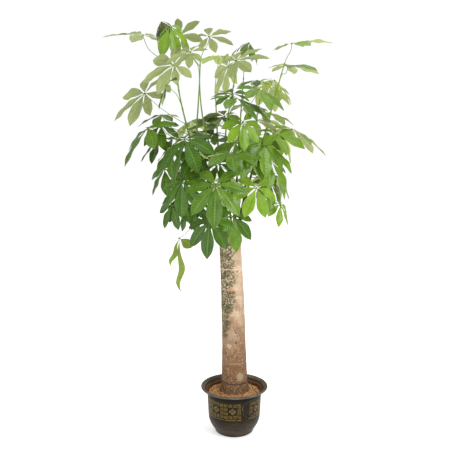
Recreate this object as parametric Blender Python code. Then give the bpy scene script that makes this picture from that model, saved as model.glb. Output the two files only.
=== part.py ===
"""Potted money tree: one bare trunk with a head of hand-shaped leaves, in a plastic floor pot.

Metres, +Z up. The origin is the middle of the pot's flat underside, and the front faces -Y.
Run it with blender --background --python part.py, or from Blender's text editor.
"""
import itertools
import math

import bmesh
import bpy
from mathutils import Vector
from mathutils.bvhtree import BVHTree

# ---- Driving dimensions -------------------------------------------------------------------

CLEARANCE = 0.0004          # between any two pieces that meet
ROUND_SIDES = 32            # facets round the pot, the soil and the trunk

# Pot
POT_HEIGHT = 0.222
FOOT_RADIUS = 0.083
FOOT_HEIGHT = 0.010
SHOULDER_RADIUS = 0.1265    # outside of the body, just under the lip
LIP_RADIUS = 0.155          # outside edge of the flared lip
LIP_DROP = 0.024            # how far the lip's root lies under its top
FOOT_STEP = 0.003           # how far the bowl's underside stands out over the foot
BODY_FLARE = 0.010          # how much the straight wall widens from the bowl to the shoulder
BOWL_SHARE = 0.40           # the part of the body's height that is rounded like a bowl
BOWL_ROUNDING = 2.2         # how full that bowl is: 1 is a straight cone
BODY_LEVELS = (0, 0.06, 0.14, 0.25, 0.42, 0.7, 1)   # rings of the wall, as shares of its height
POT_WALL = 0.0035
POT_FLOOR = 0.006
DRAIN_RADIUS = 0.006
DRAIN_CIRCLE_RADIUS = 0.050
DRAIN_COUNT = 4

# Soil
SOIL_DROP = 0.036           # soil at the wall, under the top of the lip
SOIL_MOUND = 0.013          # how much higher the soil lies against the trunk

# Trunk
TRUNK_TOP = 0.955           # height of the sawn top over the floor
TRUNK_TOP_RADIUS = 0.048
TRUNK_BUTT_RADIUS = 0.057   # at the soil, without the flare
FLARE = 0.011               # extra radius of the root flare at the soil
FLARE_FADE = 0.050          # height over which the flare dies away
TRUNK_LEAN = -0.0215        # how far the top stands off the pot's middle, along X
ROOT_DEPTH = 0.085          # how deep the butt goes into the soil

# Wire that ties the trunk
WIRE_DIAMETER = 0.0032
TIE_LIFT = 0.053            # height of the tie over the soil against the trunk
TIE_TILT = 0.006            # how much lower than that its lowest point lies
TIE_LOW = -70               # compass angle of the lowest point, in degrees

# Shoots, petioles and leaves
SHOOT_SIDES = 6
SHOOT_BASE_RADIUS = 0.0052
SHOOT_TIP_RADIUS = 0.0023
PETIOLE_RADIUS = 0.0015
HUB_RADIUS = 0.0060
LEAF_THICKNESS = 0.0016
LEAF_WIDTH = 0.39           # widest part of a leaflet, as a share of its length
LEAF_SCALE = 1.0            # all leaves together
SHORTER = 0.38              # how much shorter the leaflets beside the stalk are
BACK_GAP = 0.6              # the gap over the stalk, in leaflet steps more than the others
SAG = 0.19                  # how far a leaflet bends down under its own weight
SAG_BY_DROOP = 0.027        # and how much more for each degree that its leaf droops
BLADE = ((0.30, 0.64), (0.62, 1.0), (1.0, 0.10))    # share of the length, share of the width
# The wilted leaf has three leaflets left: where each points, its share of the length, and its
# width as a share of a healthy one's.
WILTED_COUNT = 3
WILTED_LEAFLETS = ((-20, 0.54, 0.48), (3, 1.0, 0.33), (62, 0.27, 1.9))
ROLLS = (0, 10, -8, 14, -12, 5)     # small twists that leaflets grow with, in degrees
GROWING_ROOM = 0.0006       # what a leaflet keeps round it while it looks for a clear place
SPINE_STEPS = 20
STALK_STATIONS = 4
SHOOT_STATIONS = 9

# Each shoot: where it leaves the trunk's top, as a share of the top's radius, and its route
# from there, as (x, y, height over the trunk's top).
SHOOTS = {
    "a": ((-0.80, 0.25), ((-0.085, 0.015, 0.10), (-0.165, 0.025, 0.29), (-0.222, 0.030, 0.50),
                          (-0.247, 0.040, 0.62), (-0.270, 0.050, 0.77))),
    "b": ((-0.65, -0.50), ((-0.095, -0.015, 0.15), (-0.155, -0.005, 0.33), (-0.166, 0.000, 0.44),
                           (-0.155, 0.000, 0.61), (-0.149, 0.000, 0.74))),
    "c": ((-0.22, -0.50), ((-0.045, -0.045, 0.15), (-0.099, -0.045, 0.35), (-0.133, -0.055, 0.47),
                          (-0.147, -0.070, 0.59), (-0.150, -0.080, 0.69))),
    "d": ((0.35, 0.20), ((0.010, 0.020, 0.10), (0.012, 0.030, 0.26), (0.026, 0.050, 0.48),
                         (0.040, 0.055, 0.67))),
    "e": ((0.45, -0.35), ((-0.005, -0.035, 0.12), (-0.036, -0.055, 0.33), (-0.037, -0.062, 0.45),
                          (-0.020, -0.070, 0.55), (-0.004, -0.080, 0.63))),
    "f": ((0.85, -0.10), ((0.042, 0.000, 0.09), (0.072, 0.000, 0.24), (0.137, 0.000, 0.435),
                          (0.172, 0.000, 0.57), (0.217, 0.000, 0.73))),
    "g": ((0.75, 0.45), ((0.040, 0.035, 0.12), (0.062, 0.085, 0.29), (0.092, 0.125, 0.44),
                         (0.118, 0.145, 0.58))),
    "h": ((-0.15, 0.75), ((-0.045, 0.085, 0.14), (-0.070, 0.145, 0.31), (-0.082, 0.180, 0.48),
                          (-0.088, 0.195, 0.64))),
    "i": ((0.25, -0.90), ((-0.020, -0.060, 0.09), (-0.028, -0.110, 0.20), (-0.025, -0.140, 0.33))),
}

# Each leaf: its shoot and the share of the shoot's length where its stalk leaves; its hub, as
# (x, y, height over the trunk's top); the compass angle and the pitch of its middle leaflet,
# the bank of the whole leaf about that leaflet, and how far the leaflets droop under the
# leaf's disc, all in degrees; how many leaflets it has; and the length of the middle one.
# Compass 0 is +X, 90 is +Y; a negative pitch points down.
LEAVES = (
    ("a", 0.94, (-0.400, 0.050, 0.855), 182, 5, 0, 2, 5, 0.178),
    ("a", 1.00, (-0.317, 0.020, 0.905), 230, -40, 0, 40, 6, 0.100),
    ("a", 0.97, (-0.275, -0.050, 0.875), 255, -60, 8, 35, 6, 0.135),
    ("b", 0.97, (-0.243, 0.120, 0.862), 8, 22, 55, 5, 6, 0.112),
    ("b", 1.00, (-0.112, 0.050, 0.848), 355, 10, 28, 6, 6, 0.120),
    ("a", 0.80, (-0.262, -0.020, 0.720), 200, -15, -48, 8, 7, 0.160),
    ("a", 0.70, (-0.287, -0.120, 0.630), 245, -35, -50, 12, 6, 0.115),
    ("a", 0.62, (-0.405, 0.100, 0.605), 205, -30, -40, 5, 7, 0.190),
    ("c", 1.00, (-0.185, -0.120, 0.765), 200, -8, -28, 8, 7, 0.115),
    ("e", 0.96, (-0.030, 0.100, 0.722), 208, -52, -52, 8, 7, 0.150),
    ("e", 1.00, (0.005, -0.100, 0.733), 18, 16, 26, 4, 7, 0.145),
    ("d", 1.00, (0.063, 0.050, 0.821), 330, -20, 10, 40, 6, 0.110),
    ("f", 1.00, (0.246, 0.000, 0.813), 0, 9, -5, 2, 5, 0.175),
    ("f", 0.93, (0.243, 0.140, 0.733), 350, -1, 2, 4, 6, 0.165),
    ("e", 0.90, (-0.008, -0.150, 0.593), 130, 25, 20, 10, 6, 0.110),
    ("d", 0.86, (0.098, -0.020, 0.656), 185, 0, 5, 8, 6, 0.100),
    ("d", 0.78, (0.100, -0.180, 0.610), 325, -28, 0, 8, 6, 0.140),
    ("f", 0.82, (0.180, 0.080, 0.662), 348, -26, 15, 20, 5, 0.135),
    ("e", 0.78, (0.006, -0.220, 0.574), 335, -20, 0, 8, 6, 0.165),
    ("h", 0.72, (-0.045, 0.120, 0.504), 170, -10, -30, 8, 7, 0.130),
    ("g", 0.86, (0.092, -0.100, 0.482), 40, -5, 15, 8, 7, 0.120),
    ("b", 0.60, (-0.385, 0.020, 0.450), 215, -38, -5, 10, 5, 0.200),
    ("a", 0.50, (-0.330, 0.060, 0.462), 240, -40, 10, 12, 6, 0.125),
    ("h", 0.60, (-0.193, 0.100, 0.438), 5, 0, 6, 5, 6, 0.150),
    ("c", 0.55, (-0.209, -0.180, 0.406), 235, -45, 0, 18, 7, 0.190),
    ("e", 0.60, (0.032, -0.250, 0.478), 285, -62, 0, 15, 7, 0.115),
    ("i", 1.00, (-0.016, -0.280, 0.355), 275, -12, 0, 5, 7, 0.150),
    ("f", 0.50, (0.124, -0.120, 0.394), 290, -60, 5, 15, 7, 0.150),
    ("f", 0.66, (0.258, 0.050, 0.447), 345, -20, 14, 9, 7, 0.190),
    ("g", 0.70, (0.217, 0.150, 0.424), 300, -45, 20, 20, 6, 0.150),
    ("i", 0.72, (-0.077, -0.300, 0.228), 262, -62, 0, 12, 7, 0.175),
    ("b", 0.30, (-0.225, -0.120, 0.224), 250, -68, 0, 18, 7, 0.150),
    ("c", 0.22, (-0.106, -0.220, 0.065), 250, -62, 0, 15, 7, 0.150),
    ("i", 0.30, (-0.008, -0.140, 0.078), 300, -65, 0, 12, 7, 0.150),
    ("d", 0.30, (0.092, -0.150, 0.201), 275, -72, 10, 18, 6, 0.140),
    ("g", 0.40, (0.212, 0.100, 0.100), 320, -55, 0, 20, 6, 0.110),
    ("f", 0.32, (0.190, 0.060, 0.235), 335, -35, 10, 18, 6, 0.130),
    ("a", 0.22, (-0.205, 0.020, 0.100), 240, -72, 0, 20, 6, 0.130),
    ("a", 0.12, (-0.248, -0.020, -0.037), 255, -80, 0, 8, 3, 0.240),
    ("h", 0.74, (-0.200, 0.290, 0.485), 150, -25, 0, 15, 7, 0.150),
    ("h", 1.00, (-0.075, 0.260, 0.785), 40, 2, 0, 6, 7, 0.150),
    ("g", 1.00, (0.170, 0.270, 0.650), 70, -30, 0, 15, 7, 0.150),
    ("h", 0.40, (-0.190, 0.250, 0.330), 130, -50, 0, 18, 7, 0.160),
    ("g", 0.55, (0.080, 0.310, 0.400), 85, -50, 0, 15, 7, 0.160),
    ("h", 0.25, (-0.050, 0.270, 0.180), 95, -60, 0, 18, 7, 0.150),
    ("g", 0.28, (0.170, 0.220, 0.230), 50, -55, 0, 18, 6, 0.140),
)

# The free end of the tie leaves the ring on the right, crosses the soil, goes over the lip and
# hangs down the pot's front. Each point is a compass angle in degrees, then how far outside the
# reference and how far over it the point lies: the ring and its height, the lip's edge and the
# pot's top, and the body's wall and the pot's top.
TAIL_FROM_TIE = ((13.5, 0.0050, 0.0015), (3.3, 0.0072, -0.0015), (-10.8, 0.0120, -0.0090),
                 (-25.7, 0.0250, -0.0185))
TAIL_OVER_LIP = ((-34.9, -0.0501, 0.0045), (-41.1, -0.0303, 0.0022), (-45.0, -0.0136, 0.0036),
                 (-48.3, 0.0005, 0.0036), (-51.4, 0.0065, -0.0040), (-54.2, 0.0040, -0.0160))
TAIL_DOWN_WALL = ((-57.8, 0.0200, -0.0260), (-64.7, 0.0095, -0.0340), (-70.4, 0.0057, -0.0440),
                  (-73.1, 0.0044, -0.0580), (-73.0, 0.0044, -0.0770), (-70.2, 0.0043, -0.0960),
                  (-62.4, 0.0035, -0.1110), (-52.8, 0.0038, -0.1130), (-43.3, 0.0053, -0.1010))
TAIL_POINTS = 36

# Colours in linear light, then roughness.
FINISHES = {
    "pot_plastic": ((0.030, 0.024, 0.018), 0.45),
    "potting_soil": ((0.230, 0.120, 0.060), 0.95),
    "bark": ((0.480, 0.330, 0.210), 0.85),
    "green_stem": ((0.180, 0.300, 0.070), 0.55),
    "leaf_green": ((0.090, 0.220, 0.030), 0.45),
    "tie_wire": ((0.030, 0.028, 0.026), 0.40),
}


# ---- Shared helpers -----------------------------------------------------------------------

def clear_scene():
    for old in list(bpy.data.objects):
        bpy.data.objects.remove(old, do_unlink=True)


def make_material(name):
    colour, roughness = FINISHES[name]
    material = bpy.data.materials.new(name)
    material.use_nodes = True
    shader = material.node_tree.nodes["Principled BSDF"]
    shader.inputs["Base Color"].default_value = (*colour, 1.0)
    shader.inputs["Roughness"].default_value = roughness
    shader.inputs["Metallic"].default_value = 0.0
    material.diffuse_color = (*colour, 1.0)
    return material


def add_object(name, data, material):
    made = bpy.data.objects.new(name, data)
    data.materials.append(material)
    bpy.context.scene.collection.objects.link(made)
    return made


def object_from_bmesh(name, bm, material, smooth=True):
    if bm.calc_volume(signed=True) < 0:
        bmesh.ops.reverse_faces(bm, faces=bm.faces)
    mesh = bpy.data.meshes.new(name)
    bm.to_mesh(mesh)
    bm.free()
    if smooth:
        mesh.shade_smooth()
    return add_object(name, mesh, material)


def spun(profile):
    """A closed body: the outline of (radius, height) points, turned once round the Z axis."""
    bm = bmesh.new()
    points = [bm.verts.new((radius, 0.0, height)) for radius, height in profile]
    edges = [bm.edges.new(pair) for pair in zip(points, points[1:])]
    bmesh.ops.spin(bm, geom=points + edges, angle=2 * math.pi, steps=ROUND_SIDES,
                   axis=(0, 0, 1), cent=(0, 0, 0), use_merge=True)
    bmesh.ops.remove_doubles(bm, verts=bm.verts, dist=1e-6)
    return bm


def smooth_route(points, count):
    """count places at even spacing on a Catmull-Rom curve through the points."""
    ends = [points[0] * 2 - points[1], *points, points[-1] * 2 - points[-2]]
    dense = []
    for a, b, c, d in zip(ends, ends[1:], ends[2:], ends[3:]):
        for step in range(24):
            t = step / 24
            dense.append(0.5 * (2 * b + (c - a) * t + (2 * a - 5 * b + 4 * c - d) * t ** 2
                                + (3 * b - a - 3 * c + d) * t ** 3))
    dense.append(points[-1].copy())
    run = [0.0]
    for a, b in zip(dense, dense[1:]):
        run.append(run[-1] + (b - a).length)
    places, at = [], 0
    for step in range(count):
        wanted = run[-1] * step / (count - 1)
        while at < len(run) - 2 and run[at + 1] < wanted:
            at += 1
        share = (wanted - run[at]) / max(run[at + 1] - run[at], 1e-9)
        places.append(dense[at].lerp(dense[at + 1], min(share, 1.0)))
    return places


def headings(places):
    """The direction of travel at each place."""
    pairs = zip([places[0], *places], [*places[1:], places[-1]])
    return [(b - a).normalized() for a, b in pairs]


def ring_round(centre, heading, radius, sides, start):
    """Corners round a heading; start is a direction that fixes where the first corner lies."""
    across = (start - heading * start.dot(heading)).normalized()
    over = heading.cross(across)
    turns = [2 * math.pi * k / sides for k in range(sides)]
    return [centre + (across * math.cos(t) + over * math.sin(t)) * radius for t in turns]


def loft(bm, rings):
    """A tube through rings of corners, closed at its far end."""
    face = bm.faces.new([bm.verts.new(corner) for corner in rings[0]])
    for ring in rings[1:]:
        face = extrude_to(bm, face, ring)
    return face


def close_up(bm):
    """Fills the face that the first extrusion left open."""
    bmesh.ops.holes_fill(bm, edges=[e for e in bm.edges if e.is_boundary])


def extrude_to(bm, face, corners):
    """Extrudes one face and puts the new face's corners at the places given, in order."""
    made = bmesh.ops.extrude_discrete_faces(bm, faces=[face])["faces"][0]
    for corner, place in zip(made.verts, corners):
        corner.co = place
    return made


# ---- Pot ----------------------------------------------------------------------------------

def body_radius(height):
    """Outside of the pot's body: a rounded bowl that becomes a nearly straight, flared wall."""
    share = (height - FOOT_HEIGHT) / (BODY_TOP - FOOT_HEIGHT)
    bowl = 1 - (1 - min(share / BOWL_SHARE, 1.0)) ** BOWL_ROUNDING
    root = FOOT_RADIUS + FOOT_STEP
    return root + (SHOULDER_RADIUS - BODY_FLARE - root) * bowl + BODY_FLARE * share


BODY_TOP = POT_HEIGHT - LIP_DROP
WALL_HEIGHTS = [FOOT_HEIGHT + (BODY_TOP - FOOT_HEIGHT) * share for share in BODY_LEVELS]


def inside_wall():
    """(radius, height) of the pot's inside, from the corner of its floor up to the lip's root."""
    wall = [(body_radius(z) - POT_WALL, z) for z in WALL_HEIGHTS[1:]]
    return [(wall[0][0] - 0.004, POT_FLOOR), *wall]


def pot_outline():
    outside = [(0, 0), (FOOT_RADIUS, 0), (FOOT_RADIUS, FOOT_HEIGHT - 0.001)]
    outside += [(body_radius(z), z) for z in WALL_HEIGHTS]
    lip = [(SHOULDER_RADIUS + 0.004, BODY_TOP + 0.004), (LIP_RADIUS - 0.003, POT_HEIGHT - 0.010),
           (LIP_RADIUS, POT_HEIGHT - 0.005), (LIP_RADIUS - 0.004, POT_HEIGHT),
           (LIP_RADIUS - 0.009, POT_HEIGHT - 0.001), (SHOULDER_RADIUS + 0.005, BODY_TOP + 0.008)]
    return outside + lip + inside_wall()[::-1] + [(0, POT_FLOOR)]


def make_pot(material):
    pot = object_from_bmesh("pot", spun(pot_outline()), material)
    for k in range(DRAIN_COUNT):
        turn = 2 * math.pi * (k + 0.5) / DRAIN_COUNT
        bm = bmesh.new()
        bmesh.ops.create_cone(bm, cap_ends=True, segments=10, radius1=DRAIN_RADIUS,
                              radius2=DRAIN_RADIUS, depth=4 * POT_FLOOR)
        bmesh.ops.translate(bm, verts=bm.verts, vec=(DRAIN_CIRCLE_RADIUS * math.cos(turn),
                                                     DRAIN_CIRCLE_RADIUS * math.sin(turn), 0))
        cutter = object_from_bmesh(f"drain_cutter_{k}", bm, material, smooth=False)
        cutter.hide_render = True
        cutter.display_type = "WIRE"
        hole = pot.modifiers.new(f"drain_{k}", "BOOLEAN")
        hole.operation = "DIFFERENCE"
        hole.object = cutter
    return pot


# ---- Trunk and soil -----------------------------------------------------------------------

SOIL_EDGE = POT_HEIGHT - SOIL_DROP
SOIL_TOP = SOIL_EDGE + SOIL_MOUND
TIE_HEIGHT = SOIL_TOP + TIE_LIFT
ROOT_BOTTOM = SOIL_TOP - ROOT_DEPTH


def trunk_radius(height):
    share = (height - SOIL_TOP) / (TRUNK_TOP - SOIL_TOP)
    taper = TRUNK_BUTT_RADIUS + (TRUNK_TOP_RADIUS - TRUNK_BUTT_RADIUS) * share
    return taper + FLARE * math.exp(-max(height - SOIL_TOP, 0.0) / FLARE_FADE)


def trunk_middle(height):
    straight = TIE_HEIGHT + 0.04
    share = max(height - straight, 0.0) / (TRUNK_TOP - straight)
    return Vector((TRUNK_LEAN * share ** 1.4, 0.0, height))


def butt_outline():
    """(radius, height) of the buried butt, from its middle underneath up to the soil's top."""
    widest = trunk_radius(SOIL_TOP)
    return [(0.0, ROOT_BOTTOM), (0.45 * widest, ROOT_BOTTOM + 0.002),
            (0.80 * widest, ROOT_BOTTOM + 0.018), (0.98 * widest, ROOT_BOTTOM + 0.045),
            (widest, SOIL_TOP)]


def make_trunk(material):
    bm = spun(butt_outline())
    rim = [e for e in bm.edges if e.is_boundary]
    top = bmesh.ops.contextual_create(bm, geom=rim)["faces"][0]
    corners = [v.co.copy() for v in top.verts]
    unit = [Vector((c.x, c.y, 0)).normalized() for c in corners]
    clear = TRUNK_TOP - SOIL_TOP
    for share in (0.02, 0.045, 0.08, 0.13, 0.22, 0.36, 0.52, 0.68, 0.84, 1.0):
        height = SOIL_TOP + clear * share
        middle, radius = trunk_middle(height), trunk_radius(height)
        top = extrude_to(bm, top, [middle + u * radius for u in unit])
    return object_from_bmesh("trunk", bm, material)


def make_soil(material):
    gap = CLEARANCE
    inside, butt = inside_wall(), butt_outline()
    wall = [(r - 2 * gap, z) for r, z in inside if z < SOIL_EDGE]
    wall[0] = (wall[0][0], POT_FLOOR + gap)
    (low_r, low_z), (high_r, high_z) = inside[len(wall) - 1], inside[len(wall)]
    edge = low_r + (high_r - low_r) * (SOIL_EDGE - low_z) / (high_z - low_z) - 2 * gap
    pocket = [(0.0, butt[0][1] - gap)] + [(r + gap, z - gap) for r, z in butt[1:-1]]
    pocket.append((butt[-1][0] + gap, SOIL_TOP))
    mound = [(pocket[-1][0] + share * (edge - pocket[-1][0]), SOIL_TOP - SOIL_MOUND * share ** 1.5)
             for share in (1.0, 0.65, 0.3)]
    outline = [(0.0, POT_FLOOR + gap), *wall, *mound, *reversed(pocket)]
    return object_from_bmesh("soil", spun(outline), material)


# ---- Tie wire -----------------------------------------------------------------------------

def wire(name, places, material, closed=False):
    curve = bpy.data.curves.new(name, "CURVE")
    curve.dimensions = "3D"
    curve.bevel_depth = WIRE_DIAMETER / 2
    curve.bevel_resolution = 2
    curve.use_fill_caps = not closed
    line = curve.splines.new("POLY")
    line.points.add(len(places) - 1)
    for point, place in zip(line.points, places):
        point.co = (*place, 1.0)
    line.use_cyclic_u = closed
    return add_object(name, curve, material)


def tie_radius(height):
    """From the trunk's middle to the middle of the wire that lies round it."""
    return trunk_radius(height - WIRE_DIAMETER / 2) + WIRE_DIAMETER / 2 + CLEARANCE


def around_axis(compass, radius, height):
    turn = math.radians(compass)
    return Vector((math.cos(turn) * radius, math.sin(turn) * radius, height))


def tie_ring():
    places = []
    for k in range(ROUND_SIDES):
        compass = 360 * k / ROUND_SIDES
        height = TIE_HEIGHT - TIE_TILT * math.cos(math.radians(compass - TIE_LOW))
        lean = trunk_middle(height) - trunk_middle(SOIL_TOP)
        places.append(around_axis(compass, tie_radius(height), height) + Vector((lean.x, 0, 0)))
    return places


def tail_route():
    route = [around_axis(compass, tie_radius(TIE_HEIGHT) + out, TIE_HEIGHT + over)
             for compass, out, over in TAIL_FROM_TIE]
    route += [around_axis(compass, LIP_RADIUS + out, POT_HEIGHT + over)
              for compass, out, over in TAIL_OVER_LIP]
    route += [around_axis(compass, body_radius(POT_HEIGHT + over) + out, POT_HEIGHT + over)
              for compass, out, over in TAIL_DOWN_WALL]
    return smooth_route(route, TAIL_POINTS)


# ---- Shoots -------------------------------------------------------------------------------

def shoot_route(key):
    foot, route = SHOOTS[key]
    inside = TRUNK_TOP_RADIUS - SHOOT_BASE_RADIUS - CLEARANCE
    base = trunk_middle(TRUNK_TOP) + Vector((foot[0] * inside, foot[1] * inside, CLEARANCE))
    return [base, *(Vector((x, y, TRUNK_TOP + z)) for x, y, z in route)]


def shoot_radius(share):
    return SHOOT_BASE_RADIUS + (SHOOT_TIP_RADIUS - SHOOT_BASE_RADIUS) * share


def shoot_rings(key):
    places = smooth_route(shoot_route(key), SHOOT_STATIONS)
    ways = headings(places)
    ways[0] = Vector((0, 0, 1))
    shares = [k / (SHOOT_STATIONS - 1) for k in range(SHOOT_STATIONS)]
    return [ring_round(place, way, shoot_radius(share), SHOOT_SIDES, Vector((1, 0, 0)))
            for place, way, share in zip(places, ways, shares)]


def shoot_at(key, share):
    """The place and the heading at a share of the shoot's length."""
    places = smooth_route(shoot_route(key), SHOOT_STATIONS)
    run = share * (SHOOT_STATIONS - 1)
    first = min(int(run), SHOOT_STATIONS - 2)
    a, b = places[first], places[first + 1]
    return a.lerp(b, run - first), (b - a).normalized()


def make_shoot(key, material):
    bm = bmesh.new()
    loft(bm, shoot_rings(key))
    close_up(bm)
    return object_from_bmesh(f"shoot_{key}", bm, material)


# ---- Leaves -------------------------------------------------------------------------------

class Leaf:
    """One hand-shaped leaf: where its stalk starts, its hub, and the way its disc lies."""

    def __init__(self, row):
        self.shoot, self.share, hub, compass, pitch, bank, self.droop, self.count, length = row
        self.length = length * LEAF_SCALE
        self.sag = SAG + SAG_BY_DROOP * self.droop
        self.hub = Vector((hub[0], hub[1], TRUNK_TOP + hub[2]))
        turn, rise, roll = (math.radians(a) for a in (compass, pitch, bank))
        self.heading = Vector((math.cos(rise) * math.cos(turn), math.cos(rise) * math.sin(turn),
                               math.sin(rise)))
        level = Vector((-math.sin(turn), math.cos(turn), 0))
        upright = self.heading.cross(level)
        self.up = upright * math.cos(roll) + level * math.sin(roll)
        self.side = self.up.cross(self.heading)

    def out(self, degrees):
        """A direction in the leaf's disc, counted from its middle leaflet."""
        turn = math.radians(degrees)
        return self.heading * math.cos(turn) + self.side * math.sin(turn)

    def leaflets(self):
        """The angle, the length and the share of the usual width of each leaflet.

        They stand all round the hub, with a wider gap over the stalk, and get shorter from the
        middle one to those beside the stalk.
        """
        if self.count == WILTED_COUNT:
            return [(angle, self.length * share, wide) for angle, share, wide in WILTED_LEAFLETS]
        step = 360 / (self.count + BACK_GAP)
        angles = [(k - (self.count - 1) / 2) * step for k in range(self.count)]
        return [(a, self.length * (1 - SHORTER * abs(a) / 150), 1.0) for a in angles]


def spine(leaf, angle, droop, roll, reach):
    """Places along one leaflet, each with its directions across and up."""
    way, across = leaf.out(angle), leaf.up.cross(leaf.out(angle))
    start = way - leaf.up * math.tan(math.radians(droop))
    at = leaf.hub + way * HUB_RADIUS
    found = [(at.copy(), across, leaf.up)]
    turn = math.radians(roll)
    for k in range(SPINE_STEPS):
        share = (k + 0.5) / SPINE_STEPS
        heading = (start.normalized() + Vector((0, 0, -leaf.sag * share))).normalized()
        at = at + heading * reach / SPINE_STEPS
        flat = (across - heading * across.dot(heading)).normalized()
        over = heading.cross(flat)
        ease = min(share / 0.25, 1.0)
        found.append((at.copy(), flat * math.cos(turn * ease) + over * math.sin(turn * ease),
                      over * math.cos(turn * ease) - flat * math.sin(turn * ease)))
    return found


def blade_rings(line, reach, wide, spare=0.0):
    """Four-cornered sections of a leaflet after its root, as dicts from corner signs to places."""
    rings = []
    for share, width in BLADE:
        middle, across, up = line[round(share * SPINE_STEPS)]
        half = width * wide * LEAF_WIDTH * reach / 2 + spare
        thick = LEAF_THICKNESS / 2 + spare
        rings.append({(x, y): middle + across * x * half + up * y * thick
                      for x, y in itertools.product((-1, 1), (-1, 1))})
    return rings


CORNERS = ((-1, -1), (1, -1), (1, 1), (-1, 1))


def blade_sections(leaf, choice, spare):
    """Sections of one leaflet for the clearance test, from just outside the hub to the tip."""
    angle, droop, roll, reach, wide = choice
    line = spine(leaf, angle, droop, roll, reach)
    middle, across, up = line[1]
    narrow = HUB_RADIUS / 2
    root = [middle + across * x * narrow + up * y * LEAF_THICKNESS / 2 for x, y in CORNERS]
    return [root] + [[ring[c] for c in CORNERS] for ring in blade_rings(line, reach, wide, spare)]


def solid_of(ring_lists):
    """A search tree over closed tubes, each given by its rings of corners."""
    places, faces = [], []
    for rings in ring_lists:
        first, sides = len(places), len(rings[0])
        places += [corner for ring in rings for corner in ring]
        for level in range(len(rings) - 1):
            low = first + level * sides
            for k in range(sides):
                after = (k + 1) % sides
                faces.append((low + k, low + after, low + sides + after, low + sides + k))
        faces.append(tuple(range(first, first + sides)))
        faces.append(tuple(range(len(places) - sides, len(places))))
    return BVHTree.FromPolygons(places, faces)


def stalk_rings(leaf, bow, spare=0.0):
    """Rings of a leaf stalk from the hub's underside to the shoot, bent sideways by bow."""
    axis, way = shoot_at(leaf.shoot, leaf.share)
    if leaf.share == 1:
        outward, gap = way, 0.0
    else:
        outward = leaf.hub - axis
        outward = (outward - way * outward.dot(way)).normalized()
        gap = shoot_radius(leaf.share)
    foot = axis + outward * (gap + 2 * CLEARANCE)
    under = leaf.hub - leaf.up * (LEAF_THICKNESS / 2 + 0.006)
    pull = (foot - under).length * 0.33
    across = (foot - under).cross(Vector((0, 0, 1))).normalized() * bow
    inner = under - leaf.up * pull + across
    outer = foot + outward * pull * 0.6 + Vector((0, 0, pull * 0.4)) + across
    rings, start = [], leaf.out(0)
    for k in range(STALK_STATIONS):
        t = k / (STALK_STATIONS - 1)
        place = (under * (1 - t) ** 3 + inner * 3 * t * (1 - t) ** 2
                 + outer * 3 * t ** 2 * (1 - t) + foot * t ** 3)
        slope = ((inner - under) * (1 - t) ** 2 + (outer - inner) * 2 * t * (1 - t)
                 + (foot - outer) * t ** 2).normalized()
        if k == STALK_STATIONS - 1:
            slope = -outward
        radius = PETIOLE_RADIUS * (1 + 0.35 * t) + spare
        ring = ring_round(place, slope, radius, leaf.count, start)
        start = ring[0] - place
        rings.append(ring)
    return rings


def by_cost(*options):
    """Every mix of the options, the smallest changes first."""
    mixes = itertools.product(*options)
    return sorted(mixes, key=lambda mix: sum(abs(a) / max(abs(o[1]), 1e-9)
                                             for a, o in zip(mix, options)))


def settle_stalks(leaves, shoots):
    """Bends each stalk just enough to pass clear of the shoots and of the stalks before it."""
    placed = []
    for leaf in leaves:
        others = solid_of(shoots + placed)
        for (bow,) in by_cost((0, 0.01, -0.01, 0.02, -0.02, 0.03, -0.03, 0.045, -0.045, 0.06,
                               -0.06)):
            if not solid_of([stalk_rings(leaf, bow, GROWING_ROOM)[:-1]]).overlap(others):
                break
        leaf.stalk = stalk_rings(leaf, bow)
        placed.append(leaf.stalk)
    return placed


def settle_blades(leaves, shoots, stalks, trunk):
    """Turns, lifts or rolls each leaflet just enough to hang clear of everything placed before."""
    changes = by_cost((0, 7, -7, 14, -14, 20, -20), (0, 8, -8, 16, -16, 26, 38),
                      (0, 14, -14, 28, -28, 45, -45), (0, 0.12, 0.24, 0.36))
    placed = []
    for index, leaf in enumerate(leaves):
        own = leaf.stalk[1:]
        others = solid_of(shoots + stalks[:index] + stalks[index + 1:] + placed + [own, trunk])
        leaf.blades, tried = [], []
        for angle, length, wide in leaf.leaflets():
            twist = ROLLS[(index + len(leaf.blades)) % len(ROLLS)]
            siblings = solid_of(tried) if tried else None
            for turn, dip, roll, cut in changes:
                choice = (angle + turn, leaf.droop + dip, twist + roll, length * (1 - cut), wide)
                sections = blade_sections(leaf, choice, GROWING_ROOM)
                tree = solid_of([sections])
                if not tree.overlap(others) and not (siblings and tree.overlap(siblings)):
                    break
            else:
                print("no clear place for a leaflet of leaf", index + 1)
            leaf.blades.append(choice)
            tried.append(sections)
        placed += tried


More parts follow.
